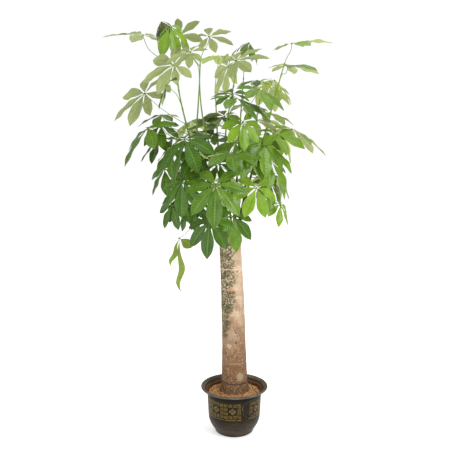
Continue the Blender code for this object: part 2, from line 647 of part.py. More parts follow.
def make_leaf(leaf, name, material):
    bm = bmesh.new()
    turns = [blade[0] for blade in leaf.blades]
    between = [(a + b) / 2 for a, b in zip(turns, turns[1:])]
    around = [(turns[0] + turns[-1] - 360) / 2, *between]
    rim = [leaf.hub + leaf.out(turn) * HUB_RADIUS for turn in around]
    top = [bm.verts.new(place + leaf.up * LEAF_THICKNESS / 2) for place in rim]
    hub = bm.faces.new(top)
    under = extrude_to(bm, hub, [place - leaf.up * LEAF_THICKNESS / 2 for place in rim])
    roots = [bm.edges.get(pair).link_faces[0] for pair in zip(top, [*top[1:], top[0]])]
    for face, (angle, droop, roll, reach, wide) in zip(roots, leaf.blades):
        middle = face.calc_center_median()
        across = leaf.up.cross(leaf.out(angle))
        signs = [(1 if (v.co - middle).dot(across) > 0 else -1,
                  1 if (v.co - middle).dot(leaf.up) > 0 else -1) for v in face.verts]
        for ring in blade_rings(spine(leaf, angle, droop, roll, reach), reach, wide):
            face = extrude_to(bm, face, [ring[sign] for sign in signs])
    for ring in leaf.stalk:
        under = extrude_to(bm, under, matched(under, ring))
    close_up(bm)
    return object_from_bmesh(name, bm, material)


def matched(face, ring):
    """The ring's corners in the order of the face's, so that the wall between them isn't wrung."""
    middle = face.calc_center_median()
    centre = sum(ring, Vector()) / len(ring)
    best = None
    for order in (ring, ring[::-1]):
        for shift in range(len(ring)):
            turned = order[shift:] + order[:shift]
            score = sum((v.co - middle).normalized().dot((p - centre).normalized())
                        for v, p in zip(face.verts, turned))
            if best is None or score > best[0]:
                best = (score, turned)
    return best[1]


def main():
    clear_scene()
    materials = {name: make_material(name) for name in FINISHES}
    make_pot(materials["pot_plastic"])
    make_soil(materials["potting_soil"])
    make_trunk(materials["bark"])
    wire("trunk_tie", tie_ring(), materials["tie_wire"], closed=True)
    wire("tie_tail", tail_route(), materials["tie_wire"])
    for key in SHOOTS:
        make_shoot(key, materials["green_stem"])
    shoots = [shoot_rings(key) for key in SHOOTS]
    leaves = [Leaf(row) for row in LEAVES]
    stalks = settle_stalks(leaves, shoots)
    levels = [SOIL_TOP + (TRUNK_TOP - SOIL_TOP) * share for share in (0.3, 0.65, 1.0)]
    trunk = [ring_round(trunk_middle(z), Vector((0, 0, 1)), trunk_radius(z), ROUND_SIDES,
                        Vector((1, 0, 0))) for z in levels]
    settle_blades(leaves, shoots, stalks, trunk)
    for index, leaf in enumerate(leaves):
        make_leaf(leaf, f"leaf_{index + 1:02d}", materials["leaf_green"])


main()
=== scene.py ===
"""Potted money tree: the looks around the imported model.

Metres, +Z up, the front faces -Y. Each fine piece follows the same sizes and the same growing
rules as the CAD solid that it stands for.
"""

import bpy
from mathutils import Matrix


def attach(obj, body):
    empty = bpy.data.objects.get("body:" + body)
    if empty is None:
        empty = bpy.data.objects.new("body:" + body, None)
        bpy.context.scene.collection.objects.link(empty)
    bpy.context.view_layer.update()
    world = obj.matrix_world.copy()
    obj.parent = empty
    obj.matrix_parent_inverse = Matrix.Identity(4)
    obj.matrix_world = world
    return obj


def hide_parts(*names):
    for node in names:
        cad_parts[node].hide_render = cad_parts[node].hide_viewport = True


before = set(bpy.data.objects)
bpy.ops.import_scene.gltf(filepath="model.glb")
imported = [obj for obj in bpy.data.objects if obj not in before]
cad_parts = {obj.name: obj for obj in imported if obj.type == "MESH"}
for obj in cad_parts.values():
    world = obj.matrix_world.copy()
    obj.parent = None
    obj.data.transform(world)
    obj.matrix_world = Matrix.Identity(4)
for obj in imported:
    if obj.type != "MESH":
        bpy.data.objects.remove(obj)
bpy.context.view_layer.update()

import itertools
import math
import random

import bmesh
import bpy
from mathutils import Matrix, Vector, noise
from mathutils.bvhtree import BVHTree

random.seed(7)

# ---- Sizes that the CAD has too -------------------------------------------------------------

CLEARANCE = 0.0004
POT_HEIGHT, FOOT_RADIUS, FOOT_HEIGHT, FOOT_STEP = 0.222, 0.083, 0.010, 0.003
SHOULDER_RADIUS, LIP_RADIUS, LIP_DROP = 0.1265, 0.155, 0.024
BODY_FLARE, BOWL_SHARE, BOWL_ROUNDING = 0.010, 0.40, 2.2
POT_WALL, POT_FLOOR = 0.0035, 0.006
DRAIN_RADIUS, DRAIN_CIRCLE_RADIUS, DRAIN_COUNT = 0.006, 0.050, 4
SOIL_DROP, SOIL_MOUND = 0.036, 0.013
TRUNK_TOP, TRUNK_TOP_RADIUS, TRUNK_BUTT_RADIUS = 0.955, 0.048, 0.057
FLARE, FLARE_FADE, TRUNK_LEAN, ROOT_DEPTH = 0.011, 0.050, -0.0215, 0.085
WIRE_DIAMETER, TIE_LIFT, TIE_TILT, TIE_LOW = 0.0032, 0.053, 0.006, -70
SHOOT_SIDES, SHOOT_STATIONS, SHOOT_BASE_RADIUS, SHOOT_TIP_RADIUS = 6, 9, 0.0052, 0.0023
PETIOLE_RADIUS, HUB_RADIUS, LEAF_THICKNESS, LEAF_WIDTH = 0.0015, 0.0060, 0.0016, 0.39
SHORTER, BACK_GAP, SAG, SAG_BY_DROOP = 0.38, 0.6, 0.19, 0.027
BLADE = ((0.30, 0.64), (0.62, 1.0), (1.0, 0.10))
WILTED_COUNT, WILTED_LEAFLETS = 3, ((-20, 0.54, 0.48), (3, 1.0, 0.33), (62, 0.27, 1.9))
ROLLS = (0, 10, -8, 14, -12, 5)
GROWING_ROOM, SPINE_STEPS, STALK_STATIONS = 0.0006, 20, 4
BODY_TOP = POT_HEIGHT - LIP_DROP
SOIL_EDGE = POT_HEIGHT - SOIL_DROP
SOIL_TOP = SOIL_EDGE + SOIL_MOUND
TIE_HEIGHT = SOIL_TOP + TIE_LIFT
ROOT_BOTTOM = SOIL_TOP - ROOT_DEPTH
TRUNK_SIDES = 32
RIGHT, UPWARD = Vector((1, 0, 0)), Vector((0, 0, 1))

# Each shoot: where it leaves the trunk's top, as a share of the top's radius, and its route
# from there, as (x, y, height over the trunk's top).
SHOOTS = {
    "a": ((-0.80, 0.25), ((-0.085, 0.015, 0.10), (-0.165, 0.025, 0.29), (-0.222, 0.030, 0.50),
                          (-0.247, 0.040, 0.62), (-0.270, 0.050, 0.77))),
    "b": ((-0.65, -0.50), ((-0.095, -0.015, 0.15), (-0.155, -0.005, 0.33), (-0.166, 0.000, 0.44),
                           (-0.155, 0.000, 0.61), (-0.149, 0.000, 0.74))),
    "c": ((-0.22, -0.50), ((-0.045, -0.045, 0.15), (-0.099, -0.045, 0.35), (-0.133, -0.055, 0.47),
                          (-0.147, -0.070, 0.59), (-0.150, -0.080, 0.69))),
    "d": ((0.35, 0.20), ((0.010, 0.020, 0.10), (0.012, 0.030, 0.26), (0.026, 0.050, 0.48),
                         (0.040, 0.055, 0.67))),
    "e": ((0.45, -0.35), ((-0.005, -0.035, 0.12), (-0.036, -0.055, 0.33), (-0.037, -0.062, 0.45),
                          (-0.020, -0.070, 0.55), (-0.004, -0.080, 0.63))),
    "f": ((0.85, -0.10), ((0.042, 0.000, 0.09), (0.072, 0.000, 0.24), (0.137, 0.000, 0.435),
                          (0.172, 0.000, 0.57), (0.217, 0.000, 0.73))),
    "g": ((0.75, 0.45), ((0.040, 0.035, 0.12), (0.062, 0.085, 0.29), (0.092, 0.125, 0.44),
                         (0.118, 0.145, 0.58))),
    "h": ((-0.15, 0.75), ((-0.045, 0.085, 0.14), (-0.070, 0.145, 0.31), (-0.082, 0.180, 0.48),
                          (-0.088, 0.195, 0.64))),
    "i": ((0.25, -0.90), ((-0.020, -0.060, 0.09), (-0.028, -0.110, 0.20), (-0.025, -0.140, 0.33))),
}

# Each leaf: its shoot and the share of the shoot's length where its stalk leaves; its hub, as
# (x, y, height over the trunk's top); the compass angle and the pitch of its middle leaflet,
# the bank of the whole leaf about that leaflet, and how far the leaflets droop under the
# leaf's disc, all in degrees; how many leaflets it has; and the length of the middle one.
# Compass 0 is +X, 90 is +Y; a negative pitch points down.
LEAVES = (
    ("a", 0.94, (-0.400, 0.050, 0.855), 182, 5, 0, 2, 5, 0.178),
    ("a", 1.00, (-0.317, 0.020, 0.905), 230, -40, 0, 40, 6, 0.100),
    ("a", 0.97, (-0.275, -0.050, 0.875), 255, -60, 8, 35, 6, 0.135),
    ("b", 0.97, (-0.243, 0.120, 0.862), 8, 22, 55, 5, 6, 0.112),
    ("b", 1.00, (-0.112, 0.050, 0.848), 355, 10, 28, 6, 6, 0.120),
    ("a", 0.80, (-0.262, -0.020, 0.720), 200, -15, -48, 8, 7, 0.160),
    ("a", 0.70, (-0.287, -0.120, 0.630), 245, -35, -50, 12, 6, 0.115),
    ("a", 0.62, (-0.405, 0.100, 0.605), 205, -30, -40, 5, 7, 0.190),
    ("c", 1.00, (-0.185, -0.120, 0.765), 200, -8, -28, 8, 7, 0.115),
    ("e", 0.96, (-0.030, 0.100, 0.722), 208, -52, -52, 8, 7, 0.150),
    ("e", 1.00, (0.005, -0.100, 0.733), 18, 16, 26, 4, 7, 0.145),
    ("d", 1.00, (0.063, 0.050, 0.821), 330, -20, 10, 40, 6, 0.110),
    ("f", 1.00, (0.246, 0.000, 0.813), 0, 9, -5, 2, 5, 0.175),
    ("f", 0.93, (0.243, 0.140, 0.733), 350, -1, 2, 4, 6, 0.165),
    ("e", 0.90, (-0.008, -0.150, 0.593), 130, 25, 20, 10, 6, 0.110),
    ("d", 0.86, (0.098, -0.020, 0.656), 185, 0, 5, 8, 6, 0.100),
    ("d", 0.78, (0.100, -0.180, 0.610), 325, -28, 0, 8, 6, 0.140),
    ("f", 0.82, (0.180, 0.080, 0.662), 348, -26, 15, 20, 5, 0.135),
    ("e", 0.78, (0.006, -0.220, 0.574), 335, -20, 0, 8, 6, 0.165),
    ("h", 0.72, (-0.045, 0.120, 0.504), 170, -10, -30, 8, 7, 0.130),
    ("g", 0.86, (0.092, -0.100, 0.482), 40, -5, 15, 8, 7, 0.120),
    ("b", 0.60, (-0.385, 0.020, 0.450), 215, -38, -5, 10, 5, 0.200),
    ("a", 0.50, (-0.330, 0.060, 0.462), 240, -40, 10, 12, 6, 0.125),
    ("h", 0.60, (-0.193, 0.100, 0.438), 5, 0, 6, 5, 6, 0.150),
    ("c", 0.55, (-0.209, -0.180, 0.406), 235, -45, 0, 18, 7, 0.190),
    ("e", 0.60, (0.032, -0.250, 0.478), 285, -62, 0, 15, 7, 0.115),
    ("i", 1.00, (-0.016, -0.280, 0.355), 275, -12, 0, 5, 7, 0.150),
    ("f", 0.50, (0.124, -0.120, 0.394), 290, -60, 5, 15, 7, 0.150),
    ("f", 0.66, (0.258, 0.050, 0.447), 345, -20, 14, 9, 7, 0.190),
    ("g", 0.70, (0.217, 0.150, 0.424), 300, -45, 20, 20, 6, 0.150),
    ("i", 0.72, (-0.077, -0.300, 0.228), 262, -62, 0, 12, 7, 0.175),
    ("b", 0.30, (-0.225, -0.120, 0.224), 250, -68, 0, 18, 7, 0.150),
    ("c", 0.22, (-0.106, -0.220, 0.065), 250, -62, 0, 15, 7, 0.150),
    ("i", 0.30, (-0.008, -0.140, 0.078), 300, -65, 0, 12, 7, 0.150),
    ("d", 0.30, (0.092, -0.150, 0.201), 275, -72, 10, 18, 6, 0.140),
    ("g", 0.40, (0.212, 0.100, 0.100), 320, -55, 0, 20, 6, 0.110),
    ("f", 0.32, (0.190, 0.060, 0.235), 335, -35, 10, 18, 6, 0.130),
    ("a", 0.22, (-0.205, 0.020, 0.100), 240, -72, 0, 20, 6, 0.130),
    ("a", 0.12, (-0.248, -0.020, -0.037), 255, -80, 0, 8, 3, 0.240),
    ("h", 0.74, (-0.200, 0.290, 0.485), 150, -25, 0, 15, 7, 0.150),
    ("h", 1.00, (-0.075, 0.260, 0.785), 40, 2, 0, 6, 7, 0.150),
    ("g", 1.00, (0.170, 0.270, 0.650), 70, -30, 0, 15, 7, 0.150),
    ("h", 0.40, (-0.190, 0.250, 0.330), 130, -50, 0, 18, 7, 0.160),
    ("g", 0.55, (0.080, 0.310, 0.400), 85, -50, 0, 15, 7, 0.160),
    ("h", 0.25, (-0.050, 0.270, 0.180), 95, -60, 0, 18, 7, 0.150),
    ("g", 0.28, (0.170, 0.220, 0.230), 50, -55, 0, 18, 6, 0.140),
)

# The free end of the tie leaves the ring on the right, crosses the soil, goes over the lip and
# hangs down the pot's front. Each point is a compass angle in degrees, then how far outside the
# reference and how far over it the point lies: the ring and its height, the lip's edge and the
# pot's top, and the body's wall and the pot's top.
TAIL_FROM_TIE = ((13.5, 0.0050, 0.0015), (3.3, 0.0072, -0.0015), (-10.8, 0.0120, -0.0090),
                 (-25.7, 0.0250, -0.0185))
TAIL_OVER_LIP = ((-34.9, -0.0501, 0.0045), (-41.1, -0.0303, 0.0022), (-45.0, -0.0136, 0.0036),
                 (-48.3, 0.0005, 0.0036), (-51.4, 0.0065, -0.0040), (-54.2, 0.0040, -0.0160))
TAIL_DOWN_WALL = ((-57.8, 0.0200, -0.0260), (-64.7, 0.0095, -0.0340), (-70.4, 0.0057, -0.0440),
                  (-73.1, 0.0044, -0.0580), (-73.0, 0.0044, -0.0770), (-70.2, 0.0043, -0.0960),
                  (-62.4, 0.0035, -0.1110), (-52.8, 0.0038, -0.1130), (-43.3, 0.0053, -0.1010))
TAIL_POINTS = 36


# ---- Shared helpers -------------------------------------------------------------------------

def linear(code):
    """An sRGB hex colour as linear light, with full alpha."""
    parts = [int(code[k:k + 2], 16) / 255 for k in (1, 3, 5)]
    return (*[p / 12.92 if p <= 0.04045 else ((p + 0.055) / 1.055) ** 2.4 for p in parts], 1.0)


# The setting that the second word of a node's kind gives
WORD_SETS = {"Math": "operation", "VectorMath": "operation", "Mix": "data_type",
             "MapRange": "interpolation_type"}


def add(tree, kind, *values, stops=(), **named):
    """Adds a shader node and returns its first output that is in use.

    Values go to the inputs in use, in order. Each is a number, a colour as hex, or the output
    that feeds the input. A name with a capital is an input too; the others are settings. Stops
    are a ramp's positions and colours.
    """
    kind, _, word = kind.partition(" ")
    node = tree.nodes.new("ShaderNode" + kind)
    if word:
        setattr(node, WORD_SETS[kind], word)
    feeds = list(zip([socket for socket in node.inputs if socket.enabled], values))
    for name, value in named.items():
        if name[0].isupper():
            feeds.append((node.inputs[name.replace("_", " ")], value))
        else:
            setattr(node, name, value)
    for socket, value in feeds:
        if isinstance(value, bpy.types.NodeSocket):
            tree.links.new(value, socket)
        else:
            socket.default_value = linear(value) if isinstance(value, str) else value
    while stops and len(node.color_ramp.elements) < len(stops):
        node.color_ramp.elements.new(1.0)
    for element, (position, code) in zip(node.color_ramp.elements if stops else (), stops):
        element.position, element.color = position, linear(code)
    return next((out for out in node.outputs if out.enabled), None)


def material(name, **values):
    """A new material and its tree, with the values that are the same all over."""
    made = bpy.data.materials.new(name)
    made.use_nodes = True
    for key, value in values.items():
        skin_of(made).inputs[key.replace("_", " ")].default_value = value
    return made, made.node_tree


def skin_of(made):
    return made.node_tree.nodes["Principled BSDF"]


def dressed(made, **feeds):
    """The material, with each of these outputs led to its shader."""
    for key, output in feeds.items():
        made.node_tree.links.new(output, skin_of(made).inputs[key.replace("_", " ")])
    return made


def stand(name, data):
    """A new object in the scene."""
    made = bpy.data.objects.new(name, data)
    bpy.context.scene.collection.objects.link(made)
    return made


def mesh_from(name, bm):
    mesh = bpy.data.meshes.new(name)
    bm.to_mesh(mesh)
    bm.free()
    return mesh


def finish_piece(name, bm, materials, nodes):
    """Makes the mesh object, ties it to the body, and hides the CAD nodes that it stands for."""
    mesh = mesh_from(name, bm)
    for polygon in mesh.polygons:
        polygon.use_smooth = True
    for entry in materials:
        mesh.materials.append(entry)
    piece = stand(name, mesh)
    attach(piece, "root")
    if nodes:
        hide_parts(*nodes)
    return piece


def spin_round(bm, outline, steps):
    """Turns an outline once round the Z axis, and closes the seam and the poles."""
    bmesh.ops.spin(bm, geom=outline, angle=2 * math.pi, steps=steps, axis=(0, 0, 1),
                   cent=(0, 0, 0), use_merge=True)
    bmesh.ops.remove_doubles(bm, verts=bm.verts, dist=1e-6)
    bmesh.ops.recalc_face_normals(bm, faces=bm.faces)


def turned(profile, steps):
    """A closed body: the outline of (radius, height) points, turned once round the Z axis."""
    bm = bmesh.new()
    points = [bm.verts.new((radius, 0.0, height)) for radius, height in profile]
    spin_round(bm, points + [bm.edges.new(pair) for pair in zip(points, points[1:])], steps)
    return bm


def extrude_to(bm, face, corners):
    """Extrudes one face and puts the new face's corners at the places given, in order."""
    made = bmesh.ops.extrude_discrete_faces(bm, faces=[face])["faces"][0]
    for corner, place in zip(made.verts, corners):
        corner.co = place
    return made


def tube(bm, rings, index=0):
    """A closed tube through rings of corners, with that material index."""
    before = set(bm.faces)
    face = bm.faces.new([bm.verts.new(corner) for corner in rings[0]])
    for ring in rings[1:]:
        face = extrude_to(bm, face, ring)
    bmesh.ops.holes_fill(bm, edges=[e for e in bm.edges if e.is_boundary])
    made = [f for f in bm.faces if f not in before]
    bmesh.ops.recalc_face_normals(bm, faces=made)
    for f in made:
        f.material_index = index
    return made


def between(value, low, high):
    """How far a value lies from low to high, from 0 to 1 and eased at both ends."""
    share = min(max((value - low) / (high - low), 0.0), 1.0)
    return share * share * (3 - 2 * share)


# ---- Growing rules shared with the CAD ------------------------------------------------------

def smooth_route(points, count):
    """count places at even spacing on a Catmull-Rom curve through the points."""
    ends = [points[0] * 2 - points[1], *points, points[-1] * 2 - points[-2]]
    dense = []
    for a, b, c, d in zip(ends, ends[1:], ends[2:], ends[3:]):
        for step in range(24):
            t = step / 24
            dense.append(0.5 * (2 * b + (c - a) * t + (2 * a - 5 * b + 4 * c - d) * t ** 2
                                + (3 * b - a - 3 * c + d) * t ** 3))
    dense.append(points[-1].copy())
    run = [0.0]
    for a, b in zip(dense, dense[1:]):
        run.append(run[-1] + (b - a).length)
    places, at = [], 0
    for step in range(count):
        wanted = run[-1] * step / (count - 1)
        while at < len(run) - 2 and run[at + 1] < wanted:
            at += 1
        share = (wanted - run[at]) / max(run[at + 1] - run[at], 1e-9)
        places.append(dense[at].lerp(dense[at + 1], min(share, 1.0)))
    return places


def headings(places):
    """The direction of travel at each place."""
    pairs = zip([places[0], *places], [*places[1:], places[-1]])
    return [(b - a).normalized() for a, b in pairs]


def ring_round(centre, heading, radius, sides, start):
    """Corners round a heading; start is a direction that fixes where the first corner lies."""
    across = (start - heading * start.dot(heading)).normalized()
    over = heading.cross(across)
    turns = [2 * math.pi * k / sides for k in range(sides)]
    return [centre + (across * math.cos(t) + over * math.sin(t)) * radius for t in turns]


def body_radius(height):
    """Outside of the pot's body: a rounded bowl that becomes a nearly straight, flared wall."""
    share = (height - FOOT_HEIGHT) / (BODY_TOP - FOOT_HEIGHT)
    bowl = 1 - (1 - min(share / BOWL_SHARE, 1.0)) ** BOWL_ROUNDING
    root = FOOT_RADIUS + FOOT_STEP
    return root + (SHOULDER_RADIUS - BODY_FLARE - root) * bowl + BODY_FLARE * share


def trunk_radius(height):
    share = (height - SOIL_TOP) / (TRUNK_TOP - SOIL_TOP)
    taper = TRUNK_BUTT_RADIUS + (TRUNK_TOP_RADIUS - TRUNK_BUTT_RADIUS) * share
    return taper + FLARE * math.exp(-max(height - SOIL_TOP, 0.0) / FLARE_FADE)


def trunk_middle(height):
    straight = TIE_HEIGHT + 0.04
    share = max(height - straight, 0.0) / (TRUNK_TOP - straight)
    return Vector((TRUNK_LEAN * share ** 1.4, 0.0, height))


def butt_outline():
    """(radius, height) of the buried butt, from its middle underneath up to the soil's top."""
    widest = trunk_radius(SOIL_TOP)
    return [(0.0, ROOT_BOTTOM), (0.45 * widest, ROOT_BOTTOM + 0.002),
            (0.80 * widest, ROOT_BOTTOM + 0.018), (0.98 * widest, ROOT_BOTTOM + 0.045),
            (widest, SOIL_TOP)]


def tie_radius(height):
    """From the trunk's middle to the middle of the wire that lies round it."""
    return trunk_radius(height - WIRE_DIAMETER / 2) + WIRE_DIAMETER / 2 + CLEARANCE


def around_axis(compass, radius, height):
    turn = math.radians(compass)
    return Vector((math.cos(turn) * radius, math.sin(turn) * radius, height))


def tail_route():
    route = [around_axis(compass, tie_radius(TIE_HEIGHT) + out, TIE_HEIGHT + over)
             for compass, out, over in TAIL_FROM_TIE]
    route += [around_axis(compass, LIP_RADIUS + out, POT_HEIGHT + over)
              for compass, out, over in TAIL_OVER_LIP]
    route += [around_axis(compass, body_radius(POT_HEIGHT + over) + out, POT_HEIGHT + over)
              for compass, out, over in TAIL_DOWN_WALL]
    return smooth_route(route, TAIL_POINTS)


def shoot_route(key):
    foot, route = SHOOTS[key]
    inside = TRUNK_TOP_RADIUS - SHOOT_BASE_RADIUS - CLEARANCE
    base = trunk_middle(TRUNK_TOP) + Vector((foot[0] * inside, foot[1] * inside, CLEARANCE))
    return [base, *(Vector((x, y, TRUNK_TOP + z)) for x, y, z in route)]


def shoot_radius(share):
    return SHOOT_BASE_RADIUS + (SHOOT_TIP_RADIUS - SHOOT_BASE_RADIUS) * share


def shoot_rings(key):
    places = smooth_route(shoot_route(key), SHOOT_STATIONS)
    ways = headings(places)
    ways[0] = UPWARD
    shares = [k / (SHOOT_STATIONS - 1) for k in range(SHOOT_STATIONS)]
    return [ring_round(place, way, shoot_radius(share), SHOOT_SIDES, RIGHT)
            for place, way, share in zip(places, ways, shares)]


def shoot_at(key, share):
    """The place and the heading at a share of the shoot's length."""
    places = smooth_route(shoot_route(key), SHOOT_STATIONS)
    run = share * (SHOOT_STATIONS - 1)
    first = min(int(run), SHOOT_STATIONS - 2)
    a, b = places[first], places[first + 1]
    return a.lerp(b, run - first), (b - a).normalized()


class Leaf:
    """One hand-shaped leaf: where its stalk starts, its hub, and the way its disc lies."""

    def __init__(self, row):
        self.shoot, self.share, hub, compass, pitch, bank = row[:6]
        self.droop, self.count, self.length = row[6:]
        self.sag = SAG + SAG_BY_DROOP * self.droop
        self.hub = Vector((hub[0], hub[1], TRUNK_TOP + hub[2]))
        turn, rise, roll = (math.radians(a) for a in (compass, pitch, bank))
        self.heading = Vector((math.cos(rise) * math.cos(turn), math.cos(rise) * math.sin(turn),
                               math.sin(rise)))
        level = Vector((-math.sin(turn), math.cos(turn), 0))
        upright = self.heading.cross(level)
        self.up = upright * math.cos(roll) + level * math.sin(roll)
        self.side = self.up.cross(self.heading)

    def out(self, degrees):
        """A direction in the leaf's disc, counted from its middle leaflet."""
        turn = math.radians(degrees)
        return self.heading * math.cos(turn) + self.side * math.sin(turn)

    def leaflets(self):
        """The angle, the length and the share of the usual width of each leaflet.

        They stand all round the hub, with a wider gap over the stalk, and get shorter from the
        middle one to those beside the stalk.
        """
        if self.count == WILTED_COUNT:
            return [(angle, self.length * share, wide) for angle, share, wide in WILTED_LEAFLETS]
        step = 360 / (self.count + BACK_GAP)
        angles = [(k - (self.count - 1) / 2) * step for k in range(self.count)]
        return [(a, self.length * (1 - SHORTER * abs(a) / 150), 1.0) for a in angles]


def spine(leaf, angle, droop, roll, reach):
    """Places along one leaflet, each with its directions across and up."""
    way, across = leaf.out(angle), leaf.up.cross(leaf.out(angle))
    start = way - leaf.up * math.tan(math.radians(droop))
    at = leaf.hub + way * HUB_RADIUS
    found = [(at.copy(), across, leaf.up)]
    turn = math.radians(roll)
    for k in range(SPINE_STEPS):
        share = (k + 0.5) / SPINE_STEPS
        heading = (start.normalized() + Vector((0, 0, -leaf.sag * share))).normalized()
        at = at + heading * reach / SPINE_STEPS
        flat = (across - heading * across.dot(heading)).normalized()
        over = heading.cross(flat)
        ease = min(share / 0.25, 1.0)
        found.append((at.copy(), flat * math.cos(turn * ease) + over * math.sin(turn * ease),
                      over * math.cos(turn * ease) - flat * math.sin(turn * ease)))
    return found


CORNERS = ((-1, -1), (1, -1), (1, 1), (-1, 1))


def blade_sections(leaf, choice, spare):
    """Four-cornered sections of one leaflet for the clearance test, from just outside the hub
    to the tip, with some room to spare round all but the first."""
    angle, droop, roll, reach, wide = choice
    line = spine(leaf, angle, droop, roll, reach)
    sizes = [(1, HUB_RADIUS / 2, LEAF_THICKNESS / 2)]
    sizes += [(round(share * SPINE_STEPS), width * wide * LEAF_WIDTH * reach / 2 + spare,
               LEAF_THICKNESS / 2 + spare) for share, width in BLADE]
    sections = []
    for step, half, thick in sizes:
        middle, across, up = line[step]
        sections.append([middle + across * x * half + up * y * thick for x, y in CORNERS])
    return sections


def solid_of(ring_lists):
    """A search tree over closed tubes, each given by its rings of corners."""
    places, faces = [], []
    for rings in ring_lists:
        first, sides = len(places), len(rings[0])
        places += [corner for ring in rings for corner in ring]
        for level in range(len(rings) - 1):
            low = first + level * sides
            for k in range(sides):
                after = (k + 1) % sides
                faces.append((low + k, low + after, low + sides + after, low + sides + k))
        faces.append(tuple(range(first, first + sides)))
        faces.append(tuple(range(len(places) - sides, len(places))))
    return BVHTree.FromPolygons(places, faces)


def stalk_rings(leaf, bow, spare=0.0):
    """Rings of a leaf stalk from the hub's underside to the shoot, bent sideways by bow."""
    axis, way = shoot_at(leaf.shoot, leaf.share)
    if leaf.share == 1:
        outward, gap = way, 0.0
    else:
        outward = leaf.hub - axis
        outward = (outward - way * outward.dot(way)).normalized()
        gap = shoot_radius(leaf.share)
    foot = axis + outward * (gap + 2 * CLEARANCE)
    under = leaf.hub - leaf.up * (LEAF_THICKNESS / 2 + 0.006)
    pull = (foot - under).length * 0.33
    across = (foot - under).cross(UPWARD).normalized() * bow
    inner = under - leaf.up * pull + across
    outer = foot + outward * pull * 0.6 + Vector((0, 0, pull * 0.4)) + across
    rings, start = [], leaf.out(0)
    for k in range(STALK_STATIONS):
        t = k / (STALK_STATIONS - 1)
        place = (under * (1 - t) ** 3 + inner * 3 * t * (1 - t) ** 2
                 + outer * 3 * t ** 2 * (1 - t) + foot * t ** 3)
        slope = ((inner - under) * (1 - t) ** 2 + (outer - inner) * 2 * t * (1 - t)
                 + (foot - outer) * t ** 2).normalized()
        if k == STALK_STATIONS - 1:
            slope = -outward
        radius = PETIOLE_RADIUS * (1 + 0.35 * t) + spare
        ring = ring_round(place, slope, radius, leaf.count, start)
        start = ring[0] - place
        rings.append(ring)
    return rings


def by_cost(*options):
    """Every mix of the options, the smallest changes first."""
    mixes = itertools.product(*options)
    return sorted(mixes, key=lambda mix: sum(abs(a) / max(abs(o[1]), 1e-9)
                                             for a, o in zip(mix, options)))


def settle_stalks(leaves, shoots):
    """Bends each stalk just enough to pass clear of the shoots and of the stalks before it."""
    placed = []
    for leaf in leaves:
        others = solid_of(shoots + placed)
        for (bow,) in by_cost((0, 0.01, -0.01, 0.02, -0.02, 0.03, -0.03, 0.045, -0.045, 0.06,
                               -0.06)):
            if not solid_of([stalk_rings(leaf, bow, GROWING_ROOM)[:-1]]).overlap(others):
                break
        leaf.bow, leaf.stalk = bow, stalk_rings(leaf, bow)
        placed.append(leaf.stalk)
    return placed


def settle_blades(leaves, shoots, stalks, trunk):
    """Turns, lifts or rolls each leaflet just enough to hang clear of everything placed before."""
    changes = by_cost((0, 7, -7, 14, -14, 20, -20), (0, 8, -8, 16, -16, 26, 38),
                      (0, 14, -14, 28, -28, 45, -45), (0, 0.12, 0.24, 0.36))
    placed = []
    for index, leaf in enumerate(leaves):
        own = leaf.stalk[1:]
        others = solid_of(shoots + stalks[:index] + stalks[index + 1:] + placed + [own, trunk])
        leaf.blades, tried = [], []
        for angle, length, wide in leaf.leaflets():
            twist = ROLLS[(index + len(leaf.blades)) % len(ROLLS)]
            siblings = solid_of(tried) if tried else None
            for turn, dip, roll, cut in changes:
                choice = (angle + turn, leaf.droop + dip, twist + roll, length * (1 - cut), wide)
                sections = blade_sections(leaf, choice, GROWING_ROOM)
                tree = solid_of([sections])
                if not tree.overlap(others) and not (siblings and tree.overlap(siblings)):
                    break
            else:
                print("no clear place for a leaflet of leaf", index + 1)
            leaf.blades.append(choice)
            tried.append(sections)
        placed += tried


# ---- Camera ---------------------------------------------------------------------------------

EYE = Vector((-0.02, -3.07, 1.435))
LOOKING_DOWN = 8.93         # degrees under level
LENS, SENSOR = 54, 36       # millimetres
camera_data = bpy.data.cameras.new("camera")
camera_data.lens, camera_data.sensor_width = LENS, SENSOR
camera = stand("camera", camera_data)
camera.location = EYE
camera.rotation_euler = (math.radians(90 - LOOKING_DOWN), 0, 0)
bpy.context.scene.camera = camera


# ---- Finishes -------------------------------------------------------------------------------

def wire_coating():
    """Black plastic coating drawn over steel wire: smooth, half gloss, greyed by dust and by a
    painted highlight.
    """
    made, tree = material("plastic_coated_wire", Roughness=0.32, IOR=1.5)
    place = add(tree, "TexCoord").node.outputs["Object"]
    dust_and_highlight = add(tree, "TexNoise", Vector=place, Scale=60.0, Detail=3.0)
    # Pale patches: grey dust, lightened further as a painted highlight
    colour = add(tree, "ValToRGB", dust_and_highlight,
                 stops=((0.35, "#100e0b"), (0.55, "#26221d"), (0.72, "#6a6055")))
    return dressed(made, Base_Color=colour)


